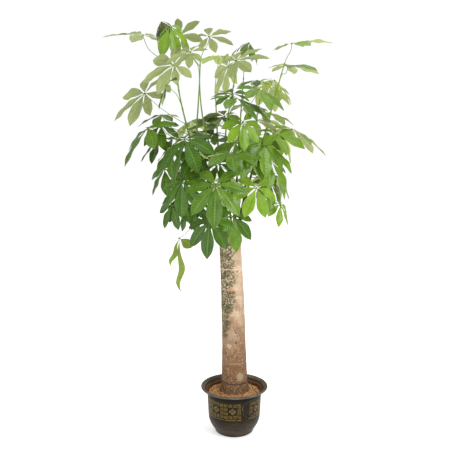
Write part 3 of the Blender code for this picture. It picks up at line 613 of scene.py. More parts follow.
# Places on the trunk's skin that stand out: compass angle, height, half width and half height
# in metres, colour, and how strongly it covers.
BARK_MARKS = (
    (-58, 0.770, 0.0045, 0.0050, "#4e5a3c", 0.9),
    (-92, 0.690, 0.0095, 0.0090, "#cf9468", 0.8),
    (-68, 0.800, 0.0050, 0.0065, "#c99763", 0.5),
    (-84, 0.570, 0.0110, 0.0050, "#d3a981", 0.7),
    (-80, 0.530, 0.0035, 0.0220, "#c08a58", 0.7),
    (-62, 0.525, 0.0040, 0.0110, "#b48a58", 0.5),
    (-79, 0.490, 0.0040, 0.0050, "#5b3220", 0.9),
    (-80, 0.443, 0.0050, 0.0060, "#4a2416", 1.0),
    (-112, 0.425, 0.0125, 0.0100, "#c4ab8c", 0.8),
    (-98, 0.400, 0.0040, 0.0150, "#b57f4e", 0.6),
    (-88, 0.397, 0.0035, 0.0060, "#7e4a30", 0.7),
    (-118, 0.393, 0.0060, 0.0100, "#b98a5c", 0.5),
    (-172, 0.410, 0.0070, 0.0450, "#b9824e", 0.7),
    (-62, 0.280, 0.0170, 0.0200, "#b39c80", 0.8),
    (-80, 0.318, 0.0250, 0.0150, "#7b5436", 0.6),
    (-75, 0.930, 0.0040, 0.0050, "#6e3f28", 0.8),
    (-98, 0.920, 0.0070, 0.0040, "#cf9a66", 0.6),
    (-168, 0.300, 0.0060, 0.0080, "#a4552f", 0.6),
)


def lichen(tree, place, x, z):
    """Where lichen grows, and its colour: a net of patches on the left, high on the trunk."""
    net = add(tree, "TexNoise", Vector=place, Scale=135.0, Detail=2.5, Roughness=0.55,
              Distortion=0.9)
    net = add(tree, "MapRange SMOOTHSTEP", net, 0.42, 0.50, 0.0, 1.0)
    reach = add(tree, "MapRange", z, 0.44, 0.64, -0.036, -0.002)
    patchy = add(tree, "TexNoise", Vector=place, Scale=30.0, Detail=3.0)
    edge = add(tree, "Math MULTIPLY_ADD", patchy, 0.07, reach)
    inside = add(tree, "Math SUBTRACT", edge, x)
    inside = add(tree, "MapRange SMOOTHSTEP", inside, 0.028, 0.044, 0.0, 0.97)
    grown = add(tree, "Math MULTIPLY", net, inside)
    for low_end, high_end in ((0.452, 0.480), (0.955, 0.925)):
        fade = add(tree, "MapRange SMOOTHSTEP", z, low_end, high_end, 0.0, 1.0)
        grown = add(tree, "Math MULTIPLY", grown, fade)
    green = add(tree, "ValToRGB", patchy,
                stops=((0.36, "#3a4126"), (0.52, "#505236"), (0.68, "#706f4f")))
    return grown, green


def leaf_scars(tree, colour, broad, z):
    """Pale rings that run a little up and down round the trunk."""
    wobble = add(tree, "Math MULTIPLY_ADD", broad, 0.022, z)
    for height, half, strength in ((0.791, 0.0026, 0.72), (0.582, 0.0028, 0.30),
                                   (0.700, 0.0020, 0.20), (0.876, 0.0020, 0.22),
                                   (0.352, 0.0025, 0.14)):
        off = add(tree, "Math SUBTRACT", wobble, height)
        off = add(tree, "Math ABSOLUTE", off)
        ring = add(tree, "MapRange SMOOTHSTEP", off, half * 1.6, half * 0.6, 0.0, strength)
        colour = add(tree, "Mix RGBA", ring, colour, "#dfc29e")
    return colour


def bark_marks(tree, colour, place):
    """Knots, sores and patches."""
    ragged = add(tree, "TexNoise", Vector=place, Scale=160.0, Detail=2.0)
    for compass, height, wide, tall, code, strength in BARK_MARKS:
        middle = trunk_middle(height) + around_axis(compass, trunk_radius(height), 0)
        apart = add(tree, "VectorMath SUBTRACT", place, tuple(middle))
        apart = add(tree, "VectorMath DIVIDE", apart, (wide, wide, tall))
        far = add(tree, "VectorMath LENGTH", apart)
        far = add(tree, "Math MULTIPLY_ADD", ragged, 1.2, far)
        mark = add(tree, "MapRange SMOOTHSTEP", far, 1.9, 1.2, 0.0, strength)
        colour = add(tree, "Mix RGBA", mark, colour, code)
    return colour


def bark():
    """Money tree bark: a thin, corky, matt skin, pale tan, dusty brown near the soil.

    Grey-green lichen grows in a net of patches 5 to 10 mm wide on the shaded left side, and
    pale rings show where leaves once grew.
    """
    made, tree = material("money_tree_bark", Roughness=0.82, IOR=1.45, Specular_IOR_Level=0.25)
    place = add(tree, "TexCoord").node.outputs["Object"]
    x, _, z = add(tree, "SeparateXYZ", place).node.outputs
    broad = add(tree, "TexNoise", Vector=place, Scale=22.0, Detail=5.0, Roughness=0.6)
    tan = add(tree, "ValToRGB", broad,
              stops=((0.30, "#a48a70"), (0.48, "#c2a88c"), (0.62, "#d1bba0"), (0.75, "#ddcbb3")))
    # Brown, dusty skin near the soil, gone by the trunk's middle
    low = add(tree, "Math MULTIPLY_ADD", broad, 0.22, z)
    brown_share = add(tree, "MapRange SMOOTHSTEP", low, 0.42, 0.80, 0.95, 0.0)
    grain = add(tree, "TexNoise", Vector=place, Scale=130.0, Detail=6.0, Roughness=0.7)
    brown = add(tree, "ValToRGB", grain,
                stops=((0.33, "#4b3220"), (0.46, "#6f4f37"), (0.56, "#8a684a"), (0.68, "#ba9972")))
    colour = add(tree, "Mix RGBA", brown_share, tan, brown)
    # Fine dark flecks, stretched along the trunk
    stretched = add(tree, "Mapping", place, Scale=(290.0, 290.0, 150.0))
    fleck = add(tree, "TexNoise", Vector=stretched, Scale=1.0, Detail=2.0)
    fleck = add(tree, "MapRange SMOOTHSTEP", fleck, 0.57, 0.68, 0.0, 0.75)
    colour = add(tree, "Mix RGBA", fleck, colour, "#8a6647")
    grown, green = lichen(tree, place, x, z)
    colour = add(tree, "Mix RGBA", grown, colour, green)
    colour = leaf_scars(tree, colour, broad, z)
    colour = bark_marks(tree, colour, place)
    # Pale sawn wood on top
    sawn = add(tree, "MapRange", z, TRUNK_TOP - 0.003, TRUNK_TOP - 0.001, 0.0, 0.8)
    colour = add(tree, "Mix RGBA", sawn, colour, "#b39a74")
    # Relief: shallow wrinkles, and the lichen standing a little proud
    wrinkle = add(tree, "Math MULTIPLY_ADD", grown, 0.35, grain)
    wrinkle = add(tree, "Math SUBTRACT", wrinkle, fleck)
    relief = add(tree, "Bump", Height=wrinkle, Strength=0.55, Distance=0.0022)
    return dressed(made, Base_Color=colour, Normal=relief)


def potting_soil():
    """Dry, packed potting soil: matt, tan to red-brown clods with dark cracks between them."""
    made, tree = material("dry_potting_soil", Roughness=0.95, IOR=1.45, Specular_IOR_Level=0.15)
    place = add(tree, "TexCoord").node.outputs["Object"]
    clods = add(tree, "TexNoise", Vector=place, Scale=95.0, Detail=6.0, Roughness=0.7)
    colour = add(tree, "ValToRGB", clods,
                 stops=((0.30, "#553822"), (0.42, "#946a43"), (0.54, "#c09566"),
                        (0.70, "#e0be90")))
    patch = add(tree, "TexNoise", Vector=place, Scale=28.0, Detail=2.0)
    patch = add(tree, "MapRange", patch, 0.45, 0.62, 0.0, 0.5)
    colour = add(tree, "Mix RGBA", patch, colour, "#a06a40")
    relief = add(tree, "Bump", Height=clods, Strength=0.9, Distance=0.004)
    return dressed(made, Base_Color=colour, Normal=relief)


# The printed band on the pot, between two heights. Plain frets fill a net of squares, and a
# larger diamond takes the middle of each panel. The print stops at a seam in front, right of
# the middle.
BAND_LOW, BAND_ROW = 0.1035, 0.0187         # four rows of squares
BAND_PANEL = 38.0                           # degrees round the pot
BAND_START, BAND_END = 33.0, 342.0          # where it starts, from the front, and how far it goes
GOLD = "#86702a"


def gold_print(tree, x, y, z):
    """Where the gold print lies: frets, a diamond in each panel, and a line under the band."""
    # Degrees from the seam, then panels and rows
    turn = add(tree, "Math MULTIPLY", y, -1.0)
    turn = add(tree, "Math ARCTAN2", x, turn)
    turn = add(tree, "Math DEGREES", turn)
    turn = add(tree, "Math ADD", turn, 360.0 - BAND_START)
    turn = add(tree, "Math MODULO", turn, 360.0)
    printed = add(tree, "Math LESS_THAN", turn, BAND_END)
    panel = add(tree, "Math DIVIDE", turn, BAND_PANEL)
    panel = add(tree, "Math FRACT", panel)
    row = add(tree, "Math SUBTRACT", z, BAND_LOW)
    row = add(tree, "Math DIVIDE", row, BAND_ROW)
    # Small frets: a square ring with a block in its middle
    offsets = []
    for run, parts in ((panel, 4.0), (row, 1.0)):
        part = add(tree, "Math MULTIPLY", run, parts)
        part = add(tree, "Math FRACT", part)
        part = add(tree, "Math SUBTRACT", part, 0.5)
        offsets.append(add(tree, "Math ABSOLUTE", part))
    wide = add(tree, "Math MAXIMUM", offsets[0], offsets[1])
    fret = add(tree, "ValToRGB", wide,
               stops=((0.0, "#ffffff"), (0.12, "#ffffff"), (0.15, "#222222"), (0.25, "#222222"),
                      (0.28, "#ffffff"), (0.36, "#ffffff"), (0.39, "#000000")))
    # Large diamond over the two middle columns and the two middle rows
    across = add(tree, "Math SUBTRACT", panel, 0.5)
    across = add(tree, "Math ABSOLUTE", across)
    across = add(tree, "Math MULTIPLY", across, 4.0)
    upward = add(tree, "Math SUBTRACT", row, 2.0)
    upward = add(tree, "Math ABSOLUTE", upward)
    apart = add(tree, "Math ADD", across, upward)
    diamond = add(tree, "ValToRGB", apart,
                  stops=((0.0, "#ffffff"), (0.26, "#ffffff"), (0.30, "#111111"), (0.46, "#111111"),
                         (0.50, "#ffffff"), (0.82, "#ffffff"), (0.87, "#000000")))
    clear = add(tree, "Math MAXIMUM", across, upward)
    clear = add(tree, "Math LESS_THAN", clear, 1.0)
    gold = add(tree, "Mix RGBA", clear, fret, diamond)
    above = add(tree, "Math GREATER_THAN", row, 0.0)
    below = add(tree, "Math LESS_THAN", row, 4.0)
    rows = add(tree, "Math MULTIPLY", above, below)
    gold = add(tree, "Math MULTIPLY", gold, rows)
    # The line under the band
    line = add(tree, "Math COMPARE", row, -0.27, 0.10)
    gold = add(tree, "Math MAXIMUM", gold, line)
    return add(tree, "Math MULTIPLY", gold, printed)


def pot_plastic():
    """Injection-moulded polypropylene, dark brown, half gloss and scuffed, dusty and with a
    painted highlight on the lip.

    Soil has stained the inside. A worn gold print goes round the wall. Painted shade darkens the
    wall under the lip.
    """
    made, tree = material("moulded_pot_plastic", Roughness=0.42, IOR=1.49, Specular_IOR_Level=0.14)
    place = add(tree, "TexCoord").node.outputs["Object"]
    x, y, z = add(tree, "SeparateXYZ", place).node.outputs
    smear = add(tree, "Mapping", place, Scale=(14.0, 14.0, 55.0))
    smear = add(tree, "TexNoise", Vector=smear, Scale=1.0, Detail=6.0, Roughness=0.65)
    dark = add(tree, "ValToRGB", smear,
               stops=((0.32, "#150f09"), (0.52, "#21180f"), (0.70, "#31261b")))
    dusty = add(tree, "ValToRGB", smear,
                stops=((0.32, "#2b241c"), (0.52, "#3f3529"), (0.72, "#5a4e3f")))
    # Dust on the foot and the bowl
    low = add(tree, "MapRange SMOOTHSTEP", z, 0.100, 0.060, 0.0, 0.75)
    colour = add(tree, "Mix RGBA", low, dark, dusty)
    # Clean and nearly black where the lip shelters the wall
    # Painted shade: the wall just under the lip is nearly black, where the lip's shadow falls
    painted_lip_shade = add(tree, "MapRange SMOOTHSTEP", z, 0.172, 0.196, 0.0, 0.75)
    colour = add(tree, "Mix RGBA", painted_lip_shade, colour, "#0b0806")
    # The lip, dusty and scuffed, and lightened further as a painted highlight
    lip = add(tree, "MapRange SMOOTHSTEP", z, 0.2080, 0.2140, 0.0, 1.0)
    lip_dust_and_highlight = add(tree, "ValToRGB", smear,
                     stops=((0.30, "#443b31"), (0.50, "#5e5346"), (0.70, "#877a69")))
    colour = add(tree, "Mix RGBA", lip, colour, lip_dust_and_highlight)

    gold = gold_print(tree, x, y, z)
    wear = add(tree, "TexNoise", Vector=place, Scale=130.0, Detail=4.0, Roughness=0.6)
    wear = add(tree, "MapRange SMOOTHSTEP", wear, 0.38, 0.60, 0.15, 0.92)
    outside = add(tree, "VectorMath MULTIPLY", place, (1.0, 1.0, 0.0))
    outside = add(tree, "VectorMath LENGTH", outside)
    wall = add(tree, "MapRange", z, FOOT_HEIGHT, BODY_TOP, SHOULDER_RADIUS - 0.0125,
               SHOULDER_RADIUS - 0.002)
    on_wall = add(tree, "Math GREATER_THAN", outside, wall)
    gold = add(tree, "Math MULTIPLY", gold, wear)
    gold = add(tree, "Math MULTIPLY", gold, on_wall)
    colour = add(tree, "Mix RGBA", gold, colour, GOLD)

    # Soil stain on the inside, ragged at its top
    edge = add(tree, "Math MULTIPLY_ADD", smear, 0.016, z)
    stain = add(tree, "MapRange SMOOTHSTEP", edge, 0.2190, 0.2110, 0.0, 0.8)
    inner = add(tree, "MapRange SMOOTHSTEP", z, BODY_TOP, BODY_TOP + 0.015,
                SHOULDER_RADIUS - 0.0022, SHOULDER_RADIUS + 0.018)
    inner = add(tree, "Math LESS_THAN", outside, inner)
    stain = add(tree, "Math MULTIPLY", stain, inner)
    over_soil = add(tree, "Math GREATER_THAN", z, SOIL_EDGE - 0.008)
    stain = add(tree, "Math MULTIPLY", stain, over_soil)
    colour = add(tree, "Mix RGBA", stain, colour, "#6f4f31")
    matt = add(tree, "MapRange", smear, 0.3, 0.7, 0.34, 0.60)
    relief = add(tree, "Bump", Height=smear, Strength=0.25, Distance=0.001)
    return dressed(made, Base_Color=colour, Roughness=matt, Normal=relief)


def green_stem():
    """Young shoots and leaf stalks: smooth green skin, corky dark brown where it is oldest."""
    made, tree = material("green_stem_skin", Roughness=0.5, IOR=1.45, Specular_IOR_Level=0.3)
    place = add(tree, "TexCoord").node.outputs["Object"]
    z = add(tree, "SeparateXYZ", place).node.outputs["Z"]
    streak = add(tree, "Mapping", place, Scale=(220.0, 220.0, 35.0))
    streak = add(tree, "TexNoise", Vector=streak, Scale=1.0, Detail=3.0)
    age = add(tree, "Math MULTIPLY_ADD", streak, 0.16, z)
    colour = add(tree, "ValToRGB", add(tree, "MapRange", age, 1.05, 1.55),
                 stops=((0.0, "#241d11"), (0.24, "#2f3a17"), (0.55, "#4b6a24"), (0.85, "#6f9036")))
    relief = add(tree, "Bump", Height=streak, Strength=0.3, Distance=0.0006)
    return dressed(made, Base_Color=colour, Normal=relief)


def leaf_stalk():
    """Thin leaf stalks: pale, fresh green, faintly streaked."""
    made, tree = material("leaf_stalk_skin", Roughness=0.45, IOR=1.45, Specular_IOR_Level=0.3)
    place = add(tree, "TexCoord").node.outputs["Object"]
    streak = add(tree, "TexNoise", Vector=place, Scale=70.0, Detail=2.0)
    tone = add(tree, "Attribute", attribute_name="tone").node.outputs["Fac"]
    tone = add(tree, "Math MULTIPLY_ADD", streak, 0.4, tone)
    colour = add(tree, "ValToRGB", tone,
                 stops=((0.35, "#4c6a29"), (0.7, "#829f49"), (1.0, "#a9bd6e")))
    return dressed(made, Base_Color=colour)


VEIN_PAIRS = 13             # side veins on each half of a leaflet: about 10 mm apart
BLOTCH_SHARE = 0.30         # how far blotches change how fresh a leaflet looks
VEIN_SWEEP = 1.5            # how many veins' spacing a side vein gains on its way to the edge


def leaf_skin(name, roughness, stops, vein, vein_share, relief_way, **sockets):
    """A leaflet's skin, with its midrib and its side veins, from the leaflet's own map."""
    made, tree = material(name, Roughness=roughness, IOR=1.45, **sockets)
    u, v, _ = add(tree, "SeparateXYZ", add(tree, "UVMap", uv_map="leaflet")).node.outputs
    side = add(tree, "Math MULTIPLY_ADD", v, 2.0, -1.0)
    side = add(tree, "Math ABSOLUTE", side)
    sweep = add(tree, "Math POWER", side, 1.25)
    sweep = add(tree, "Math MULTIPLY", sweep, VEIN_SWEEP)
    along = add(tree, "Math MULTIPLY", u, float(VEIN_PAIRS))
    along = add(tree, "Math SUBTRACT", along, sweep)
    wave = add(tree, "Math PINGPONG", along, 0.5)
    side_vein = add(tree, "MapRange SMOOTHSTEP", wave, 0.12, 0.02, 0.0, 0.6)
    midrib = add(tree, "MapRange SMOOTHSTEP", side, 0.10, 0.035, 0.0, 1.0)
    veins = add(tree, "Math MAXIMUM", side_vein, midrib)
    place = add(tree, "TexCoord").node.outputs["Object"]
    blotch = add(tree, "TexNoise", Vector=place, Scale=26.0, Detail=4.0)
    tone = add(tree, "Attribute", attribute_name="tone").node.outputs["Fac"]
    tone = add(tree, "Math MULTIPLY_ADD", blotch, BLOTCH_SHARE, tone)
    colour = add(tree, "ValToRGB", tone, stops=stops)
    covered = add(tree, "Math MULTIPLY", veins, vein_share)
    colour = add(tree, "Mix RGBA", covered, colour, vein)
    dry = add(tree, "Attribute", attribute_name="dry").node.outputs["Fac"]
    colour = add(tree, "Mix RGBA", dry, colour, "#7d6743")
    sheen = add(tree, "MapRange", blotch, 0.35, 0.65, roughness - 0.07, roughness + 0.09)
    pucker = add(tree, "Math MULTIPLY_ADD", midrib, -0.4, wave)
    relief = add(tree, "Bump", Height=pucker, Strength=abs(relief_way), Distance=0.0013,
                 invert=relief_way < 0)
    return dressed(made, Base_Color=colour, Roughness=sheen, Normal=relief)


def leaf_top():
    """Upper skin of a money tree leaflet: waxy, half gloss, mid green, paler when young."""
    return leaf_skin("leaf_upper_skin", 0.29,
                     ((0.02, "#163304"), (0.32, "#3d660b"), (0.60, "#6c9218"),
                      (0.85, "#98b534"), (1.0, "#bccd50")),
                     "#a5ba5c", 0.26, 0.6, Specular_IOR_Level=0.42)


def leaf_under():
    """Under skin: matt, pale grey-green, with the veins standing proud."""
    return leaf_skin("leaf_under_skin", 0.6,
                     ((0.10, "#93a267"), (0.36, "#a9b479"), (0.60, "#b7c180"),
                      (0.85, "#c0d070"), (1.0, "#cbdb68")),
                     "#8b9a5c", 0.5, -0.35, Specular_IOR_Level=0.25)


COATING, BARK, SOIL, PLASTIC = wire_coating(), bark(), potting_soil(), pot_plastic()
STEM, STALK, TOP, UNDER = green_stem(), leaf_stalk(), leaf_top(), leaf_under()


# ---- Wire -----------------------------------------------------------------------------------

def make_tail():
    """The tie's free end, over the soil and the lip and down the pot's front, to its cut end."""
    route = tail_route()
    curve = bpy.data.curves.new("tie_tail_wire", "CURVE")
    curve.dimensions = "3D"
    curve.bevel_depth = WIRE_DIAMETER / 2
    curve.bevel_resolution = 4
    curve.use_fill_caps = True
    line = curve.splines.new("POLY")
    line.points.add(len(route) - 1)
    for point, place in zip(line.points, route):
        point.co = (*place, 1.0)
    curve.materials.append(COATING)
    piece = stand("tie_tail_wire", curve)
    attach(piece, "root")
    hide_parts("tie_tail")


def make_tie():
    """The ring of wire round the trunk, a little lower in front."""
    bm = bmesh.new()
    wire = tie_radius(TIE_HEIGHT)
    ring = bmesh.ops.create_circle(bm, segments=12, radius=WIRE_DIAMETER / 2,
                                   matrix=Matrix.Translation((wire, 0, 0))
                                   @ Matrix.Rotation(math.pi / 2, 4, "X"))["verts"]
    spin_round(bm, ring + list(bm.edges), 96)
    for v in bm.verts:
        compass = math.degrees(math.atan2(v.co.y, v.co.x))
        height = TIE_HEIGHT - TIE_TILT * math.cos(math.radians(compass - TIE_LOW))
        out = math.hypot(v.co.x, v.co.y) - wire
        v.co = (around_axis(compass, tie_radius(height) + out, height + v.co.z)
                + Vector((trunk_middle(height).x, 0, 0)))
    finish_piece("tie_ring", bm, [COATING], ["trunk_tie"])


# ---- Pot ------------------------------------------------------------------------------------

# The lip's section, from under its root, round its edge and down to its inner side: how far
# each point lies outside and over the shoulder, then the edge, then the shoulder again.
LIP_OUTLINE = (
    (SHOULDER_RADIUS, BODY_TOP, ((0.0002, 0.0015), (0.0022, 0.0034), (0.0070, 0.0052),
                                 (0.0150, 0.0082))),
    (LIP_RADIUS, POT_HEIGHT, ((-0.0062, -0.0118), (-0.0022, -0.0096), (-0.0004, -0.0072),
                              (0, -0.0048), (-0.0008, -0.0022), (-0.0026, -0.0005),
                              (-0.0046, 0), (-0.0074, -0.0008), (-0.0110, -0.0030),
                              (-0.0160, -0.0076))),
    (SHOULDER_RADIUS, BODY_TOP, ((0.0078, 0.0106), (0.0030, 0.0068), (-0.0008, 0.0030),
                                 (-POT_WALL, 0))),
)


def make_pot():
    """One moulding: foot, bowl, wall and a flared lip with a rolled edge, and drain holes."""
    wall = [FOOT_HEIGHT + (BODY_TOP - FOOT_HEIGHT) * k / 30 for k in range(31)]
    outside = [(0, 0.0012)]
    outside += [(FOOT_RADIUS + out, up) for out, up in
                ((-0.009, 0.0012), (-0.007, 0), (-0.0012, 0), (0, 0.0012),
                 (0, FOOT_HEIGHT - 0.0020), (0.0008, FOOT_HEIGHT - 0.0008))]
    outside += [(body_radius(z), z) for z in wall]
    lip = [(radius + out, level + up) for radius, level, points in LIP_OUTLINE
           for out, up in points]
    inside = [(body_radius(z) - POT_WALL, z) for z in reversed(wall[2:-1])]
    inside += [(body_radius(wall[2]) - POT_WALL - 0.004, POT_FLOOR), (0, POT_FLOOR)]
    bm = turned(outside + lip + inside, 144)
    pot = finish_piece("flared_pot", bm, [PLASTIC], ["pot"])
    cutters = []
    for k in range(DRAIN_COUNT):
        turn = 2 * math.pi * (k + 0.5) / DRAIN_COUNT
        at = Matrix.Translation((DRAIN_CIRCLE_RADIUS * math.cos(turn),
                                 DRAIN_CIRCLE_RADIUS * math.sin(turn), 0))
        bm = bmesh.new()
        bmesh.ops.create_cone(bm, cap_ends=True, segments=32, radius1=DRAIN_RADIUS,
                              radius2=DRAIN_RADIUS, depth=4 * POT_FLOOR, matrix=at)
        cutters.append(stand(f"drain_{k}", mesh_from(f"drain_{k}", bm)))
        hole = pot.modifiers.new(f"drain_{k}", "BOOLEAN")
        hole.operation, hole.object = "DIFFERENCE", cutters[-1]
    bpy.context.view_layer.update()
    finished = pot.evaluated_get(bpy.context.evaluated_depsgraph_get())
    bored = bpy.data.meshes.new_from_object(finished)
    pot.modifiers.clear()
    pot.data = bored
    for cutter in cutters:
        bpy.data.objects.remove(cutter, do_unlink=True)


# ---- Soil -----------------------------------------------------------------------------------

SOIL_GAP, SOIL_RINGS = 2 * CLEARANCE, 34
CRUMBS, CRUMB_SIZES = 90, (0.0022, 0.0028, 0.0035, 0.0045, 0.0062)


def lump(place):
    """How high the soil's clods stand at a place: rounded cells with cracks between them."""
    near = noise.voronoi(place * 62.0)[0]
    clod = between(near[1] - near[0], 0.0, 0.35)
    return 0.0036 * clod + 0.0045 * noise.fractal(place * 38.0, 0.8, 2.2, 4)


def make_soil():
    """The soil's filling, with its top broken into clods round the trunk."""
    butt = butt_outline()
    inside = [(body_radius(z) - POT_WALL - SOIL_GAP, z)
              for z in (0.030, 0.060, 0.100, 0.140, 0.170)]
    mouth = body_radius(SOIL_EDGE) - POT_WALL - SOIL_GAP
    middle = butt[-1][0] + CLEARANCE
    top = [(middle + (mouth - middle) * k / SOIL_RINGS,
            SOIL_TOP - SOIL_MOUND * (k / SOIL_RINGS) ** 1.5) for k in range(SOIL_RINGS, -1, -1)]
    pocket = [(r + CLEARANCE, z - CLEARANCE) for r, z in reversed(butt[1:-1])]
    under = POT_FLOOR + CLEARANCE
    outline = [(0.0, under), (inside[0][0] - 0.012, under), *inside, *top, *pocket,
               (0.0, butt[0][1] - CLEARANCE)]
    bm = turned(outline, 180)
    for v in bm.verts:
        radius = math.hypot(v.co.x, v.co.y)
        if v.co.z > SOIL_EDGE - 0.001 and radius > butt[-1][0]:
            inner = between(radius, butt[-1][0], butt[-1][0] + 0.006)
            outer = between(mouth - radius, 0.0, 0.004)
            v.co.z += lump(v.co.copy()) * (0.35 + 0.65 * inner) * (0.3 + 0.7 * outer)
    finish_piece("soil_filling", bm, [SOIL], ["soil"])
    bm = bmesh.new()
    for _ in range(CRUMBS):
        turn, far = random.uniform(0, 360), random.uniform(0, 1) ** 0.8
        radius = butt[-1][0] + 0.004 + (mouth - butt[-1][0] - 0.012) * far
        size = random.choice(CRUMB_SIZES)
        height = SOIL_TOP - SOIL_MOUND * far ** 1.5 + size * 0.45
        at = (Matrix.Translation(around_axis(turn, radius, height))
              @ Matrix.Rotation(random.uniform(0, 6.28), 4, Vector((random.random(), 0.4, 1)))
              @ Matrix.Diagonal((size, size * random.uniform(0.6, 0.95), size * 0.7, 1)))
        crumb = bmesh.ops.create_icosphere(bm, subdivisions=2, radius=1.0, matrix=at)["verts"]
        for v in crumb:
            v.co += (v.co - at.translation) * 0.35 * noise.noise(v.co * 300)
    finish_piece("soil_crumbs", bm, [SOIL], [])


# ---- Trunk ----------------------------------------------------------------------------------

RING_SCARS = (0.793, 0.700, 0.584, 0.470, 0.352)     # heights of old leaf scars round the trunk
KNOTS = ((-79, 0.490, 0.0016), (-80, 0.443, 0.0024), (-92, 0.690, 0.0022), (-112, 0.425, -0.0012),
         (-62, 0.280, -0.0018), (15, 0.640, 0.0026), (140, 0.540, 0.0030), (70, 0.800, 0.0026))


def skin(compass, height):
    """How far the bark stands off the plain round taper."""
    turn = math.radians(compass)
    low = math.exp(-max(height - SOIL_TOP, 0) / 0.070)
    place = Vector((math.cos(turn), math.sin(turn), height * 4.5))
    off = 0.0020 * noise.noise(place * 1.6) + 0.0011 * noise.noise(place * 5.0)
    off += 0.0005 * noise.noise(Vector((place.x * 14, place.y * 14, place.z * 6)))
    off += 0.0030 * low * math.sin(3 * turn + 0.8) * between(height, SOIL_TOP - 0.02, SOIL_TOP)
    off += 0.0016 * low * noise.noise(place * 9.0)
    for scar in RING_SCARS:
        off -= 0.0009 * math.exp(-((height + 0.004 * noise.noise(place * 2) - scar) / 0.0028) ** 2)
    for where, level, tall in KNOTS:
        apart = math.radians((compass - where + 180) % 360 - 180) * 0.054
        off += tall * math.exp(-(apart ** 2 + (height - level) ** 2) / 0.0070 ** 2)
    # Flat under the tie, which is drawn tight
    return off * (1 - 0.8 * math.exp(-((height - TIE_HEIGHT) / 0.010) ** 2))


def make_trunk():
    """One piece of wood: a rounded butt in the soil, a root flare, and a bare, bent trunk."""
    butt = butt_outline()
    clear = [SOIL_TOP + (TRUNK_TOP - 0.002 - SOIL_TOP) * k / 260 for k in range(1, 261)]
    outline = [*butt, *[(trunk_radius(z), z) for z in clear]]
    crown = TRUNK_TOP_RADIUS
    outline += [(crown - 0.0012, TRUNK_TOP - 0.0006), (crown - 0.0035, TRUNK_TOP),
                (crown * 0.75, TRUNK_TOP - 0.0008), (crown * 0.5, TRUNK_TOP - 0.0004),
                (crown * 0.25, TRUNK_TOP - 0.0009), (0.0, TRUNK_TOP - 0.0006)]
    bm = turned(outline, 144)
    for v in bm.verts:
        radius = math.hypot(v.co.x, v.co.y)
        compass = math.degrees(math.atan2(v.co.y, v.co.x))
        height = v.co.z
        rim = between(radius, 0.6 * crown, 0.95 * crown)
        radius += skin(compass, height) * rim
        v.co = around_axis(compass, radius, height) + Vector((trunk_middle(height).x, 0, 0))
    # The stub of a twig at the top's edge, broken off short
    stub = smooth_route([Vector((0.0180, -0.0340, TRUNK_TOP - 0.012)),
                         Vector((0.0210, -0.0400, TRUNK_TOP + 0.012)),
                         Vector((0.0080, -0.0430, TRUNK_TOP + 0.036)),
                         Vector((-0.0060, -0.0440, TRUNK_TOP + 0.056))], 14)
    tube(bm, [ring_round(place, way, 0.0034 - 0.0011 * k / 13, 10, RIGHT)
              for k, (place, way) in enumerate(zip(stub, headings(stub)))])
    finish_piece("trunk_wood", bm, [BARK], ["trunk"])


# ---- Shoots ---------------------------------------------------------------------------------

FINE_STATIONS, FINE_SIDES = 72, 12
BARE_KNUCKLES = (0.18, 0.33, 0.47)      # where old leaves have dropped, as shares of the length


def make_shoot(key, leaves):
    """A shoot with a swollen foot, a little knuckle under each leaf stalk and a bud at its tip."""
    places = smooth_route(smooth_route(shoot_route(key), SHOOT_STATIONS), FINE_STATIONS)
    ways = headings(places)
    ways[0] = UPWARD
    knuckles = [leaf.share for leaf in leaves if leaf.shoot == key] + [*BARE_KNUCKLES]
    rings = []
    for k, (place, way) in enumerate(zip(places, ways)):
        share = k / (FINE_STATIONS - 1)
        radius = shoot_radius(share) * (1 + 0.25 * math.exp(-share / 0.03))
        radius *= 1 + 0.38 * max(math.exp(-((share - at) / 0.007) ** 2) for at in knuckles)
        rings.append(ring_round(place, way, radius, FINE_SIDES, RIGHT))
    tip, way = places[-1], ways[-1]
    for out, share in ((0.002, 0.85), (0.004, 0.45), (0.005, 0.12)):
        rings.append(ring_round(tip + way * out, way, SHOOT_TIP_RADIUS * share, FINE_SIDES, RIGHT))
    bm = bmesh.new()
    tube(bm, rings)
    finish_piece(f"green_shoot_{key}", bm, [STEM], [f"shoot_{key}"])


# ---- Leaves ---------------------------------------------------------------------------------

ALONG, ACROSS = 20, 8           # faces along and across a leaflet
REAL_THICKNESS = 0.0004
# Leaves not listed below get paler and yellower per metre that they hang to the right
USUAL_FRESH, PALER_PER_METRE_TO_RIGHT = 0.26, 1.5
FRESH_SPREAD, LEAFLET_SPREAD = 0.12, 0.08
STALK_PLACES, STALK_SIDES = 26, 8
# How fresh a leaf is: 0 is old and dark, 1 is young and yellow-green; leaf 31 is set paler still,
# as a painted sheen. The leaves that have no number here are paler and yellower the further they
# hang to the right.
FRESH_AND_SHEEN = {3: 0.62, 5: 0.55, 10: 0.60, 15: 0.30, 17: 0.34, 18: 0.80, 19: 0.30, 21: 0.50, 22: 0.52,
         24: 0.25, 25: 0.30, 26: 0.55, 27: 0.35, 28: 0.45, 29: 0.62, 30: 0.92, 31: 0.50, 33: 0.32,
         34: 0.40, 35: 0.58, 36: 0.70, 37: 0.62, 39: 0.72, 40: 0.7, 41: 0.75, 42: 0.8, 43: 0.6,
         44: 0.7}
DRY = {2: 0.38, 39: 0.38, 12: 0.2}      # how far a leaf has dried brown


def half_width(share):
    """A leaflet's outline: a narrow foot, widest past its middle, and a drawn-out point."""
    belly = math.sin(math.pi * share ** 1.28) ** 0.88 if 0 < share < 1 else 0.0
    return max(belly * (1 - 0.18 * between(share, 0.86, 1.0)), 0.080 * (1 - share) + 0.010)


def along_spine(line, share):
    """The place, the direction across and the direction up at a share of a leaflet's length."""
    run = share * SPINE_STEPS
    first = min(int(run), SPINE_STEPS - 1)
    return [a.lerp(b, run - first) for a, b in zip(line[first], line[first + 1])]


